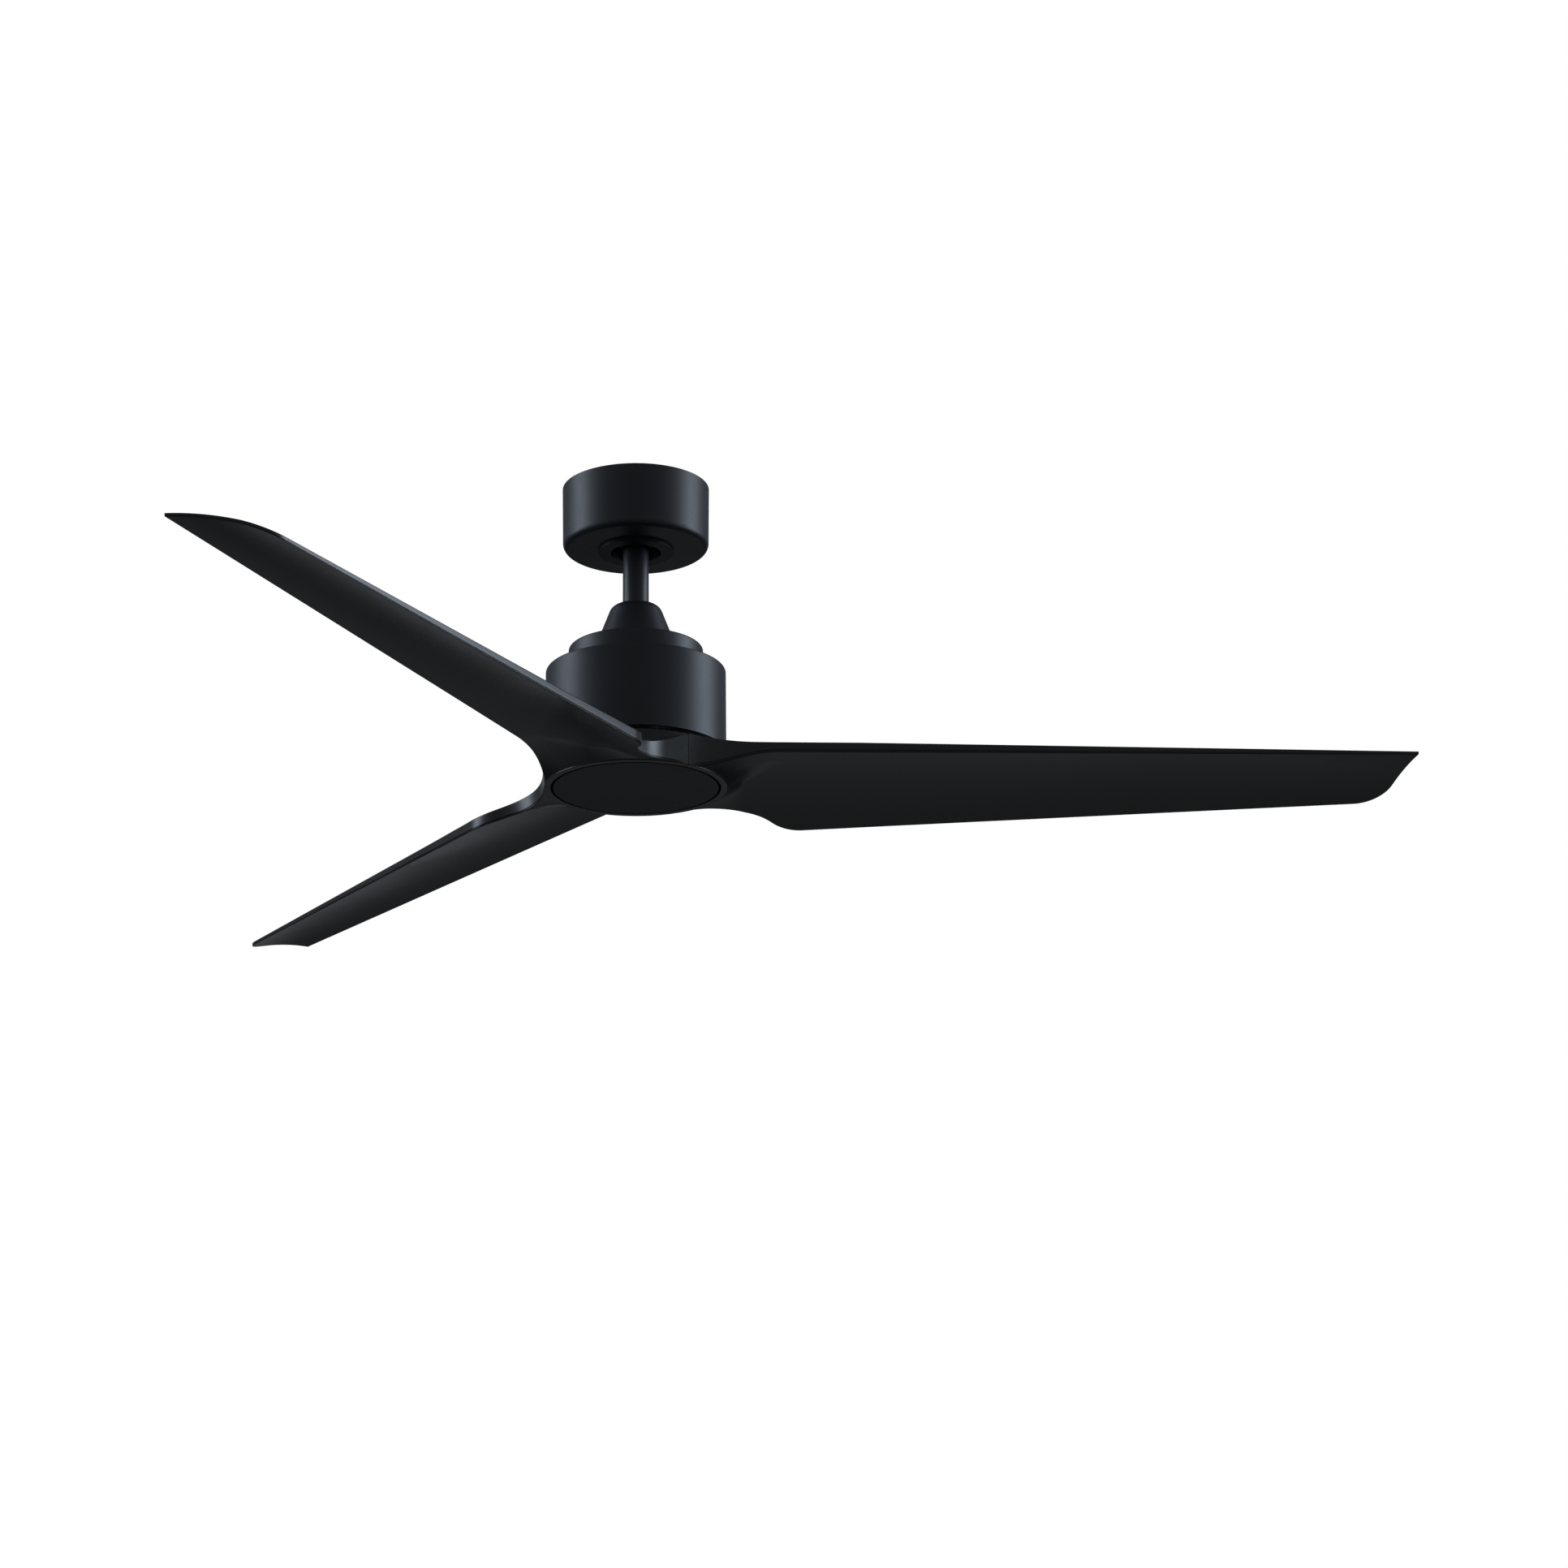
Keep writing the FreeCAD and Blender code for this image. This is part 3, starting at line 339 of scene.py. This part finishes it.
def blade_panel(settings):
    """Closed shell of one blade about X, in millimetres: an underside and a topside on the same plan grid,
    joined by a rim, which is a bead, a fine groove, an upright band and a rounded top edge carried round."""
    rows, columns = 260, 84
    bead = settings.bead / MM
    bead_in, bead_reach = 1.9, 1.4
    groove_in, groove_low, groove_high = 0.95, 0.25, 0.85
    band_in, band_low = 0.1, 1.1
    full_rim, least_rim = 9.5, 0.25
    hub_fade, least_fade = 14.0, 0.02
    sink_width = 0.1
    crowding = 1.35
    leading, end, trailing = blade_sides(settings.tip / MM)
    leading = even(leading, rows, crowding)
    trailing = even(trailing, rows, crowding)
    end = even(end, columns, 1.0)

    # The root follows the hub's circle, and sinks into the hub's wall by a smooth step away from either seam
    share = np.linspace(0, 1, columns)
    sink = np.clip(np.minimum(share, 1 - share) / sink_width, 0, 1)
    radius = HUB_R - (HUB_R - PANEL_INNER_R) * sink * sink * (3 - 2 * sink)
    angle = -SEAM + 2 * SEAM * share
    root = np.stack([radius * np.cos(angle), radius * np.sin(angle)], -1)

    # The plan's rim, anticlockwise from the hub's leading seam. Its section shrinks where the blade is thin
    # and fades away at the hub.
    loop = np.concatenate([leading[:-1], end[:-1], trailing[:0:-1], root[:0:-1]])
    from_hub = np.minimum(np.linalg.norm(loop - loop[0], axis=1), np.linalg.norm(loop - trailing[0], axis=1))
    fade = np.clip(from_hub / hub_fade, 0, 1)
    fade[1 - columns:] = 0
    size = np.clip(thickness(loop[:, 0], settings) / full_rim, least_rim, 1)

    # Each ring of the rim: how far in, measured from which face, and how far off it
    turn = np.linspace(0, math.pi / 2, 6)
    section = [(bead_in - bead_reach * math.sin(a), underside, bead * (1 - math.cos(a))) for a in turn]
    section += [(groove_in, underside, bead + groove_low), (groove_in, underside, bead + groove_high),
                (band_in, underside, bead + band_low)]
    section += [(1 - math.cos(a), topside, math.sin(a) - 1) for a in turn]
    rings = []
    for inset, face, off in section:
        ring = inward(loop, inset * size * fade)
        z = face(ring[:, 0], ring[:, 1], settings) + off * size * np.maximum(fade, least_fade)
        rings.append(np.column_stack([ring, z]))

    faces = []
    for ring, face in ((rings[0], underside), (rings[-1], topside)):
        side = ring[:rows, :2]
        across = ring[rows - 1:rows + columns - 1, :2]
        back = ring[rows + columns - 2:2 * rows + columns - 2, :2][::-1]
        inner = np.concatenate([ring[2 * rows + columns - 3:, :2], ring[:1, :2]])[::-1]
        plan = coons(side, back, inner, across).reshape(-1, 2)
        faces.append(np.column_stack([plan, face(plan[:, 0], plan[:, 1], settings)]))

    count = rows * columns
    top = grid_faces(rows, columns, first=count)
    bottom = grid_faces(rows, columns)[:, ::-1]
    wall = grid_faces(len(rings), len(loop), wrap_columns=True, first=2 * count)
    return np.concatenate(faces + rings), np.concatenate([bottom, top, wall]), []


def hub_sector(settings):
    """Closed shell of a blade's third of the hub: an outline of ring, skirt and web carried round the axis
    between the seams, the height of its outer wall following the blade's topside. The last rows at either
    end draw its outer wall in a little, which shows the seam as a fine line."""
    seam_edge, seam_slope, seam_depth = 0.004, 0.012, 0.45
    lip, bevel = 0.8, 0.6
    edge = 0.9
    angle = np.concatenate([[-SEAM, -SEAM + seam_edge],
                            np.linspace(-SEAM + seam_slope, SEAM - seam_slope, 150),
                            [SEAM - seam_edge, SEAM]])
    pull = np.where(np.abs(angle) > SEAM - seam_edge / 2, seam_depth, 0.0)[:, None]
    top = topside(HUB_R * np.cos(angle), HUB_R * np.sin(angle), settings)[:, None]
    turn = np.linspace(0, math.pi / 2, 6)

    # Outline as (radius, height): the ring's outer lip and wall, the skirt, the web, the ring's inner lip
    outline = [(HUB_R - lip + lip * math.sin(a), lip - lip * math.cos(a)) for a in turn]
    outline += [(HUB_R, top - edge), (HUB_R - edge / 3, top - edge / 3), (HUB_R - edge, top)]
    outline += [(SKIRT_OUTER_R, np.minimum(top, HUB_TOP - 0.7)), (SKIRT_OUTER_R, HUB_TOP - bevel),
                (SKIRT_OUTER_R - bevel, HUB_TOP), (SKIRT_INNER_R + bevel, HUB_TOP),
                (SKIRT_INNER_R, HUB_TOP - bevel)]
    outline += [(SKIRT_INNER_R, WEB_HIGH), (WEB_INNER_R, WEB_HIGH), (WEB_INNER_R, WEB_LOW),
                (SKIRT_INNER_R, WEB_LOW)]
    outline += [(SKIRT_INNER_R + lip - lip * math.sin(a), lip - lip * math.cos(a)) for a in turn[::-1]]
    r, z = (np.concatenate([np.broadcast_to(pair[i], top.shape) for pair in outline], 1) for i in (0, 1))
    r = np.where(r > HUB_R - 2, r - pull, r)
    points = np.stack([r * np.cos(angle)[:, None], r * np.sin(angle)[:, None], z], -1)
    rows, columns = r.shape
    side = grid_faces(rows, columns, wrap_columns=True)
    first_end = np.arange(columns)
    last_end = first_end[::-1] + (rows - 1) * columns
    return points.reshape(-1, 3), side, [first_end, last_end]


def placed(points, angle):
    """Millimetres about the blade's own axis, heights above the cap, to metres in the frame."""
    x = points[:, 0] * math.cos(angle) - points[:, 1] * math.sin(angle)
    y = points[:, 0] * math.sin(angle) + points[:, 1] * math.cos(angle)
    return np.column_stack([x * MM, y * MM, points[:, 2] * MM + CAP_Z])


# ---------------------------------------------------------------- finishes

def new_group(name, inputs, outputs):
    """Shader node group with named sockets. Inputs are (name, kind, default)."""
    group = bpy.data.node_groups.new(name, "ShaderNodeTree")
    for socket_name, kind, default in inputs:
        socket = group.interface.new_socket(socket_name, in_out="INPUT", socket_type="NodeSocket" + kind)
        if default is not None:
            socket.default_value = default
    for socket_name, kind in outputs:
        group.interface.new_socket(socket_name, in_out="OUTPUT", socket_type="NodeSocket" + kind)
    return group, group.nodes.new("NodeGroupInput"), group.nodes.new("NodeGroupOutput")


def node(tree, kind, links=(), **values):
    """A node with settings, its inputs joined or set by (input, source or value)."""
    made = tree.nodes.new("ShaderNode" + kind)
    for key, value in values.items():
        setattr(made, key, value)
    for key, source in links:
        if isinstance(source, bpy.types.NodeSocket):
            tree.links.new(source, made.inputs[key])
        else:
            made.inputs[key].default_value = source
    return made


def noise(tree, where, scale, detail, roughness=0.5):
    """Noise over the surface, with no unit of its own."""
    links = [("Vector", where), ("Scale", scale), ("Detail", detail), ("Roughness", roughness)]
    return node(tree, "TexNoise", links).outputs["Fac"]


def mix_colours(tree, factor, first, second):
    """The first colour, turning into the second as the factor goes from nought to one. A Mix node's colours
    are its inputs 6 and 7 and its output 2."""
    return node(tree, "Mix", [("Factor", factor), (6, first), (7, second)], data_type="RGBA").outputs[2]


def math_node(tree, operation, first, second=0.0, third=None):
    """Two or three values put through one sum or product."""
    links = [(0, first), (1, second)]
    if third is not None:
        links.append((2, third))
    return node(tree, "Math", links, operation=operation).outputs[0]


def spread_value(tree, source, low, high, to_low, to_high):
    """Straight map of a value from one range to another, held at its ends."""
    names = ("Value", "From Min", "From Max", "To Min", "To Max")
    links = list(zip(names, (source, low, high, to_low, to_high)))
    return node(tree, "MapRange", links, clamp=True).outputs["Result"]


def build_wear_group():
    """Edge wear: how far the rounded normal leans from the true one, broken up by noise."""
    group, given, result = new_group(
        "Edge wear",
        [("Coordinates", "Vector", None), ("Radius", "Float", 0.8 * MM), ("Amount", "Float", 0.3)],
        [("Mask", "Float")])
    bevel = node(group, "Bevel", [("Radius", given.outputs["Radius"])], samples=4)
    true_normal = node(group, "NewGeometry")
    lean = node(group, "VectorMath", [(0, bevel.outputs["Normal"]), (1, true_normal.outputs["Normal"])],
                operation="DOT_PRODUCT")
    edge = spread_value(group, lean.outputs["Value"], 0.995, 0.86, 0.0, 1.0)
    patches = noise(group, given.outputs["Coordinates"], 95.0, 4.0)
    broken = spread_value(group, patches, 0.42, 0.66, 0.15, 1.0)
    mask = math_node(group, "MULTIPLY", edge, broken)
    scaled = math_node(group, "MULTIPLY", mask, given.outputs["Amount"])
    group.links.new(scaled, result.inputs["Mask"])
    return group


def build_cloud_group():
    """Slow and fine variation of shade: two noises, one of a hand's width and one of a few millimetres."""
    group, given, result = new_group(
        "Shade clouds", [("Coordinates", "Vector", None), ("Slow", "Float", 7.0), ("Fine", "Float", 260.0)],
        [("Value", "Float")])
    slow = noise(group, given.outputs["Coordinates"], given.outputs["Slow"], 3.0, 0.55)
    fine = noise(group, given.outputs["Coordinates"], given.outputs["Fine"], 2.0)
    both = math_node(group, "MULTIPLY_ADD", fine, 0.3, math_node(group, "MULTIPLY", slow, 0.7))
    group.links.new(both, result.inputs["Value"])
    return group


def build_dust_group():
    """Dust: what lies on faces that look up, thicker in patches."""
    group, given, result = new_group(
        "Settled dust", [("Coordinates", "Vector", None), ("Amount", "Float", 0.2)], [("Mask", "Float")])
    facing = node(group, "SeparateXYZ", [(0, node(group, "NewGeometry").outputs["Normal"])])
    upward = spread_value(group, facing.outputs["Z"], 0.45, 0.98, 0.0, 1.0)
    patches = noise(group, given.outputs["Coordinates"], 34.0, 5.0)
    uneven = spread_value(group, patches, 0.3, 0.7, 0.35, 1.0)
    mask = math_node(group, "MULTIPLY", math_node(group, "MULTIPLY", upward, uneven), given.outputs["Amount"])
    group.links.new(mask, result.inputs["Mask"])
    return group


def relief_powder(tree, where, scale):
    """Orange peel of a powder coat: soft cells with a finer grain over them."""
    cells = node(tree, "TexVoronoi", [("Vector", where), ("Scale", scale), ("Smoothness", 0.8)],
                 feature="SMOOTH_F1")
    grain = noise(tree, where, scale * 2.7, 3.0)
    return math_node(tree, "MULTIPLY_ADD", cells.outputs["Distance"], 0.6, grain)


def relief_moulded(tree, where, scale):
    """Spark texture of a moulded plastic: fine sharp noise."""
    return noise(tree, where, scale, 5.0, 0.72)


def relief_turned(tree, where, scale):
    """Lines left by turning or rolling: noise stretched level and packed tightly up Z."""
    squeezed = node(tree, "Mapping", [("Vector", where), ("Scale", (0.06, 0.06, 1.0))])
    return noise(tree, squeezed.outputs["Vector"], scale, 4.0)


def relief_cast(tree, where, scale):
    """Sand or die skin of a casting: lumps and pits."""
    lumps = noise(tree, where, scale, 8.0, 0.62)
    pits = node(tree, "TexVoronoi", [("Vector", where), ("Scale", scale * 1.4)])
    return math_node(tree, "MULTIPLY_ADD", pits.outputs["Distance"], 0.35, lumps)


def relief_stacked(tree, where, scale):
    """Sheets stacked up Z: even bands a sheet thick."""
    return node(tree, "TexWave", [("Vector", where), ("Scale", scale), ("Distortion", 0.15)],
                bands_direction="Z").outputs["Fac"]


def relief_wound(tree, where, scale):
    """Wires laid side by side: rounded bands about the axis, slightly uneven."""
    return node(tree, "TexWave", [("Vector", where), ("Scale", scale), ("Distortion", 1.6), ("Detail", 2.0)],
                wave_type="RINGS", rings_direction="Z", wave_profile="SIN").outputs["Fac"]


def relief_tracks(tree, where, scale):
    """Copper tracks under the mask of a board: the walls between square cells."""
    return node(tree, "TexVoronoi", [("Vector", where), ("Scale", scale), ("Randomness", 0.55)],
                feature="DISTANCE_TO_EDGE", distance="EUCLIDEAN").outputs["Distance"]


# Each slot's colour (or the setting that holds it), roughness, metallic, specular level, relief and its
# scale, height of the relief in millimetres, wear and dust
FINISHES = {
    "painted_black": ("paint", 0.45, 0.0, 0.50, relief_powder, 900.0, 0.030, 0.25, 0.10),
    "blade_plastic": ("blade", 0.31, 0.0, 0.46, relief_moulded, 1500.0, 0.010, 0.20, 0.12),
    "black_plastic": ("plastic", 0.50, 0.0, 0.36, relief_moulded, 1400.0, 0.022, 0.20, 0.10),
    "bracket_steel": ((0.035, 0.035, 0.038), 0.42, 0.6, 0.5, relief_turned, 500.0, 0.020, 0.45, 0.15),
    "ball_plastic": ((0.018, 0.018, 0.019), 0.48, 0.0, 0.5, relief_moulded, 1100.0, 0.020, 0.20, 0.05),
    "case_plastic": ((0.62, 0.62, 0.60), 0.5, 0.0, 0.5, relief_moulded, 1000.0, 0.020, 0.10, 0.15),
    "terminal_plastic": ((0.70, 0.67, 0.58), 0.4, 0.0, 0.5, relief_moulded, 900.0, 0.015, 0.10, 0.10),
    "board_green": ((0.015, 0.11, 0.045), 0.32, 0.0, 0.5, relief_tracks, 180.0, 0.035, 0.10, 0.05),
    "board_components": ((0.03, 0.03, 0.034), 0.35, 0.0, 0.5, relief_moulded, 800.0, 0.015, 0.15, 0.05),
    "steel_hardware": ((0.56, 0.56, 0.57), 0.3, 1.0, 0.5, relief_turned, 900.0, 0.015, 0.20, 0.05),
    "dark_hardware": ((0.045, 0.045, 0.05), 0.38, 0.8, 0.5, relief_turned, 900.0, 0.015, 0.50, 0.05),
    "yoke_iron": ((0.05, 0.05, 0.054), 0.6, 0.3, 0.5, relief_cast, 420.0, 0.080, 0.35, 0.05),
    "rubber_black": ((0.016, 0.016, 0.016), 0.62, 0.0, 0.4, relief_moulded, 600.0, 0.020, 0.05, 0.08),
    "washer_rubber": ((0.02, 0.02, 0.02), 0.7, 0.0, 0.4, relief_moulded, 700.0, 0.020, 0.05, 0.05),
    "cast_aluminium": ((0.56, 0.57, 0.58), 0.42, 1.0, 0.5, relief_cast, 520.0, 0.050, 0.25, 0.05),
    "electrical_steel": ((0.30, 0.31, 0.33), 0.4, 1.0, 0.5, relief_stacked, 320.0, 0.060, 0.20, 0.0),
    "magnet": ((0.10, 0.10, 0.105), 0.5, 0.5, 0.5, relief_cast, 800.0, 0.020, 0.30, 0.0),
    "copper_wire": ((0.52, 0.20, 0.07), 0.3, 0.9, 0.5, relief_wound, 110.0, 0.250, 0.10, 0.0),
}
DUST_COLOUR = (0.16, 0.155, 0.145, 1.0)
ROUGHNESS_SPREAD = 0.05
POLISH_OF_WEAR = -0.12
MATT_OF_DUST = 0.3


def build_finish(slot_name, groups, settings):
    """Principled material whose shade, roughness and relief vary as the real finish does."""
    colour, roughness, metallic, specular, relief, scale, bump, wear, dust = FINISHES[slot_name]
    if isinstance(colour, str):
        colour = tuple(getattr(settings, colour))
    material = bpy.data.materials.new("fan_" + slot_name)
    material.use_nodes = True
    tree = material.node_tree
    shader = tree.nodes["Principled BSDF"]
    where = node(tree, "TexCoord").outputs["Object"]

    clouds = node(tree, "Group", [("Coordinates", where)], node_tree=groups["clouds"]).outputs["Value"]
    worn = node(tree, "Group", [("Coordinates", where), ("Amount", wear)],
                node_tree=groups["wear"]).outputs["Mask"]
    dusty = node(tree, "Group", [("Coordinates", where), ("Amount", dust)],
                 node_tree=groups["dust"]).outputs["Mask"]

    # The finish darkens and lightens in clouds, is rubbed paler on edges, and has dust over all
    dark = tuple(c * 0.82 for c in colour) + (1.0,)
    light = tuple(min(c * 1.2, 1.0) for c in colour) + (1.0,)
    bare = tuple(min(c * 2.6 + 0.012, 0.85) for c in colour) + (1.0,)
    shade = mix_colours(tree, clouds, dark, light)
    rubbed = mix_colours(tree, worn, shade, bare)
    tree.links.new(mix_colours(tree, dusty, rubbed, DUST_COLOUR), shader.inputs["Base Color"])

    clouded = spread_value(tree, clouds, 0.3, 0.7, roughness - ROUGHNESS_SPREAD, roughness + ROUGHNESS_SPREAD)
    polished = math_node(tree, "MULTIPLY_ADD", worn, POLISH_OF_WEAR, clouded)
    matt = math_node(tree, "MULTIPLY_ADD", dusty, MATT_OF_DUST, polished)
    tree.links.new(matt, shader.inputs["Roughness"])
    shader.inputs["Metallic"].default_value = metallic
    shader.inputs["Specular IOR Level"].default_value = specular

    height = relief(tree, where, scale)
    bumped = node(tree, "Bump", [("Height", height), ("Strength", 0.5), ("Distance", bump * MM)])
    tree.links.new(bumped.outputs["Normal"], shader.inputs["Normal"])
    return material


# ---------------------------------------------------------------- operators

class FAN_OT_finish_nodes(bpy.types.Operator):
    """Build every finish and put it on the carried-over nodes"""
    bl_idname = "fan.finish_nodes"
    bl_label = "Finishes"

    def execute(self, context):
        groups = {"wear": build_wear_group(), "clouds": build_cloud_group(), "dust": build_dust_group()}
        for slot_name in FINISHES:
            build_finish(slot_name, groups, context.scene.fan_finish)
        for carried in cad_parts.values():
            for material_slot in carried.material_slots:
                name = material_slot.material.name.split(".")[0]
                material_slot.material = bpy.data.materials["fan_" + name]
        return {"FINISHED"}


class FAN_OT_build_blades(bpy.types.Operator):
    """Build the three moulded blades, each with its third of the hub"""
    bl_idname = "fan.build_blades"
    bl_label = "Blades"

    def execute(self, context):
        settings = context.scene.fan_blade
        panel = blade_panel(settings)
        hub = hub_sector(settings)
        for index in range(3):
            angle = settings.first_angle + index * 2 * math.pi / 3
            shells = [(placed(points, angle), quads, ends) for points, quads, ends in (panel, hub)]
            add_piece("blade_moulding_%d" % (index + 1), shells, bpy.data.materials["fan_blade_plastic"],
                      TURNING_BODY, ["blade_%d" % (index + 1)])
        return {"FINISHED"}


def area_light(name, place, aim, size, power, colour):
    """Soft rectangular light at a place, facing a point: tipped by the angle from straight down to the way to
    the point, then turned about Z to face it. The camera doesn't see it."""
    data = bpy.data.lights.new(name, "AREA")
    data.shape = "RECTANGLE"
    data.size, data.size_y = size
    data.energy = power
    data.color = colour
    light = bpy.data.objects.new(name, data)
    toward = np.array(aim) - np.array(place)
    light.location = place
    light.rotation_euler = (math.atan2(math.hypot(toward[0], toward[1]), -toward[2]), 0.0,
                            math.atan2(toward[1], toward[0]) - math.pi / 2)
    light.visible_camera = False
    bpy.context.scene.collection.objects.link(light)


class FAN_OT_set_stage(bpy.types.Operator):
    """Lay the floor, set the lights and the camera"""
    bl_idname = "fan.set_stage"
    bl_label = "Stage"

    def execute(self, context):
        scene = context.scene
        settings = scene.fan_stage
        scene.view_settings.view_transform = "Standard"
        self.camera(scene, settings)
        self.surroundings(scene)
        self.floor(scene, settings)
        middle = (0.0, 0.0, CAP_Z)
        size = (1.1, 2.6)
        low_size = (7.0, 3.2)
        cool = (0.76, 0.86, 1.0)
        pale = (0.94, 0.97, 1.0)
        left_share = 0.9
        area_light("softbox_right", (2.7, 0.25, 0.5), middle, size, settings.side_light, cool)
        area_light("softbox_left", (-2.7, 0.25, 0.5), middle, size, settings.side_light * left_share, cool)
        area_light("glow_low", (0.0, 3.4, -2.3), (0.0, 3.4, 0.0), low_size, settings.low_light, pale)
        return {"FINISHED"}

    def camera(self, scene, settings):
        """Camera that looks up at the cap. Its shift leaves the hub left of the middle of the view."""
        data = bpy.data.cameras.new("camera")
        data.lens = 103.06
        data.sensor_width = 36.0
        data.shift_x = 0.0945
        data.shift_y = 0.003
        data.clip_end = 100.0
        camera = bpy.data.objects.new("camera", data)
        back = settings.camera_distance * math.cos(settings.camera_rise)
        drop = settings.camera_distance * math.sin(settings.camera_rise)
        camera.location = (0.0, -back, CAP_Z - drop)
        camera.rotation_euler = (math.pi / 2 + settings.camera_rise, 0.0, 0.0)
        scene.collection.objects.link(camera)
        scene.camera = camera

    def surroundings(self, scene):
        """White backdrop for the camera. What the surfaces reflect is dimmer: brightest straight behind the
        fan, a little brighter in front of it than at its sides, and almost dark below the horizon."""
        world = bpy.data.worlds.new("studio")
        world.use_nodes = True
        tree = world.node_tree
        tree.nodes.clear()
        backdrop = node(tree, "Background", [("Color", (1.0, 1.0, 1.0, 1.0)), ("Strength", 1.0)])
        way = node(tree, "SeparateXYZ", [(0, node(tree, "TexCoord").outputs["Generated"])])
        back = spread_value(tree, way.outputs["Y"], 0.78, 0.96, 0.11, 0.38)
        over = spread_value(tree, way.outputs["Z"], -0.04, 0.10, 0.02, back)
        front = spread_value(tree, way.outputs["Y"], -0.15, -0.8, 0.0, 0.12)
        ambient = node(tree, "Background", [("Color", (0.84, 0.91, 1.0, 1.0)),
                                            ("Strength", math_node(tree, "ADD", over, front))])
        mix = node(tree, "MixShader", [(0, node(tree, "LightPath").outputs["Is Camera Ray"]),
                                       (1, ambient.outputs[0]), (2, backdrop.outputs[0])])
        output = node(tree, "OutputWorld", [("Surface", mix.outputs[0])])
        output.is_active_output = True
        scene.world = world

    def floor(self, scene, settings):
        """Plain pale floor, a shallow dish whose height grows with the square of the distance out. It shows
        only from above, so it never hides the fan."""
        count = 48
        inner_r, outer_r = 0.18, 9.0
        dish = 0.0005
        r, angle = np.meshgrid(np.linspace(inner_r, outer_r, count),
                               np.linspace(0, 2 * math.pi, count, endpoint=False))
        z = -settings.floor_drop + dish * r * r
        points = np.stack([r * np.cos(angle), r * np.sin(angle), z], -1).reshape(-1, 3)
        mesh = bpy.data.meshes.new("floor")
        quads = grid_faces(count, count, wrap_rows=True).tolist()
        quads.append([index * count for index in range(count)])
        mesh.from_pydata(points.tolist(), [], quads)
        paint = bpy.data.materials.new("floor_paint")
        paint.use_nodes = True
        shader = paint.node_tree.nodes["Principled BSDF"]
        shader.inputs["Base Color"].default_value = (0.86, 0.86, 0.86, 1.0)
        shader.inputs["Roughness"].default_value = 0.9
        shader.inputs["Emission Color"].default_value = (0.93, 0.94, 0.95, 1.0)
        shader.inputs["Emission Strength"].default_value = 0.72
        tree = paint.node_tree
        clear = node(tree, "BsdfTransparent")
        sided = node(tree, "MixShader", [(0, node(tree, "NewGeometry").outputs["Backfacing"]),
                                         (1, shader.outputs[0]), (2, clear.outputs[0])])
        tree.links.new(sided.outputs[0], tree.nodes["Material Output"].inputs["Surface"])
        mesh.materials.append(paint)
        floor = bpy.data.objects.new("floor", mesh)
        scene.collection.objects.link(floor)
        floor.visible_glossy = False
        floor.visible_diffuse = False


class FAN_PT_sidebar(bpy.types.Panel):
    """Lists the steps and their settings"""
    bl_idname = "FAN_PT_sidebar"
    bl_label = "Ceiling fan"
    bl_space_type = "VIEW_3D"
    bl_region_type = "UI"
    bl_category = "Ceiling fan"

    def draw(self, context):
        for group, operators in STEPS:
            box = self.layout.box()
            settings = getattr(context.scene, group)
            for name in settings.__annotations__:
                box.prop(settings, name)
            for operator in operators:
                box.operator(operator.bl_idname)


STEPS = (
    ("fan_finish", (FAN_OT_finish_nodes,)),
    ("fan_blade", (FAN_OT_build_blades,)),
    ("fan_stage", (FAN_OT_set_stage,)),
)
SETTINGS = {"fan_finish": FanFinishSettings, "fan_blade": FanBladeSettings, "fan_stage": FanStageSettings}
CLASSES = (FanBladeSettings, FanFinishSettings, FanStageSettings, FAN_OT_finish_nodes, FAN_OT_build_blades,
           FAN_OT_set_stage, FAN_PT_sidebar)


def register():
    for item in CLASSES:
        bpy.utils.register_class(item)
    for name, group in SETTINGS.items():
        setattr(bpy.types.Scene, name, bpy.props.PointerProperty(type=group))


def unregister():
    for name in SETTINGS:
        delattr(bpy.types.Scene, name)
    for item in reversed(CLASSES):
        bpy.utils.unregister_class(item)


def main():
    """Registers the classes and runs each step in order."""
    register()
    bpy.ops.fan.finish_nodes()
    bpy.ops.fan.build_blades()
    bpy.ops.fan.set_stage()


if __name__ == "__main__":
    main()
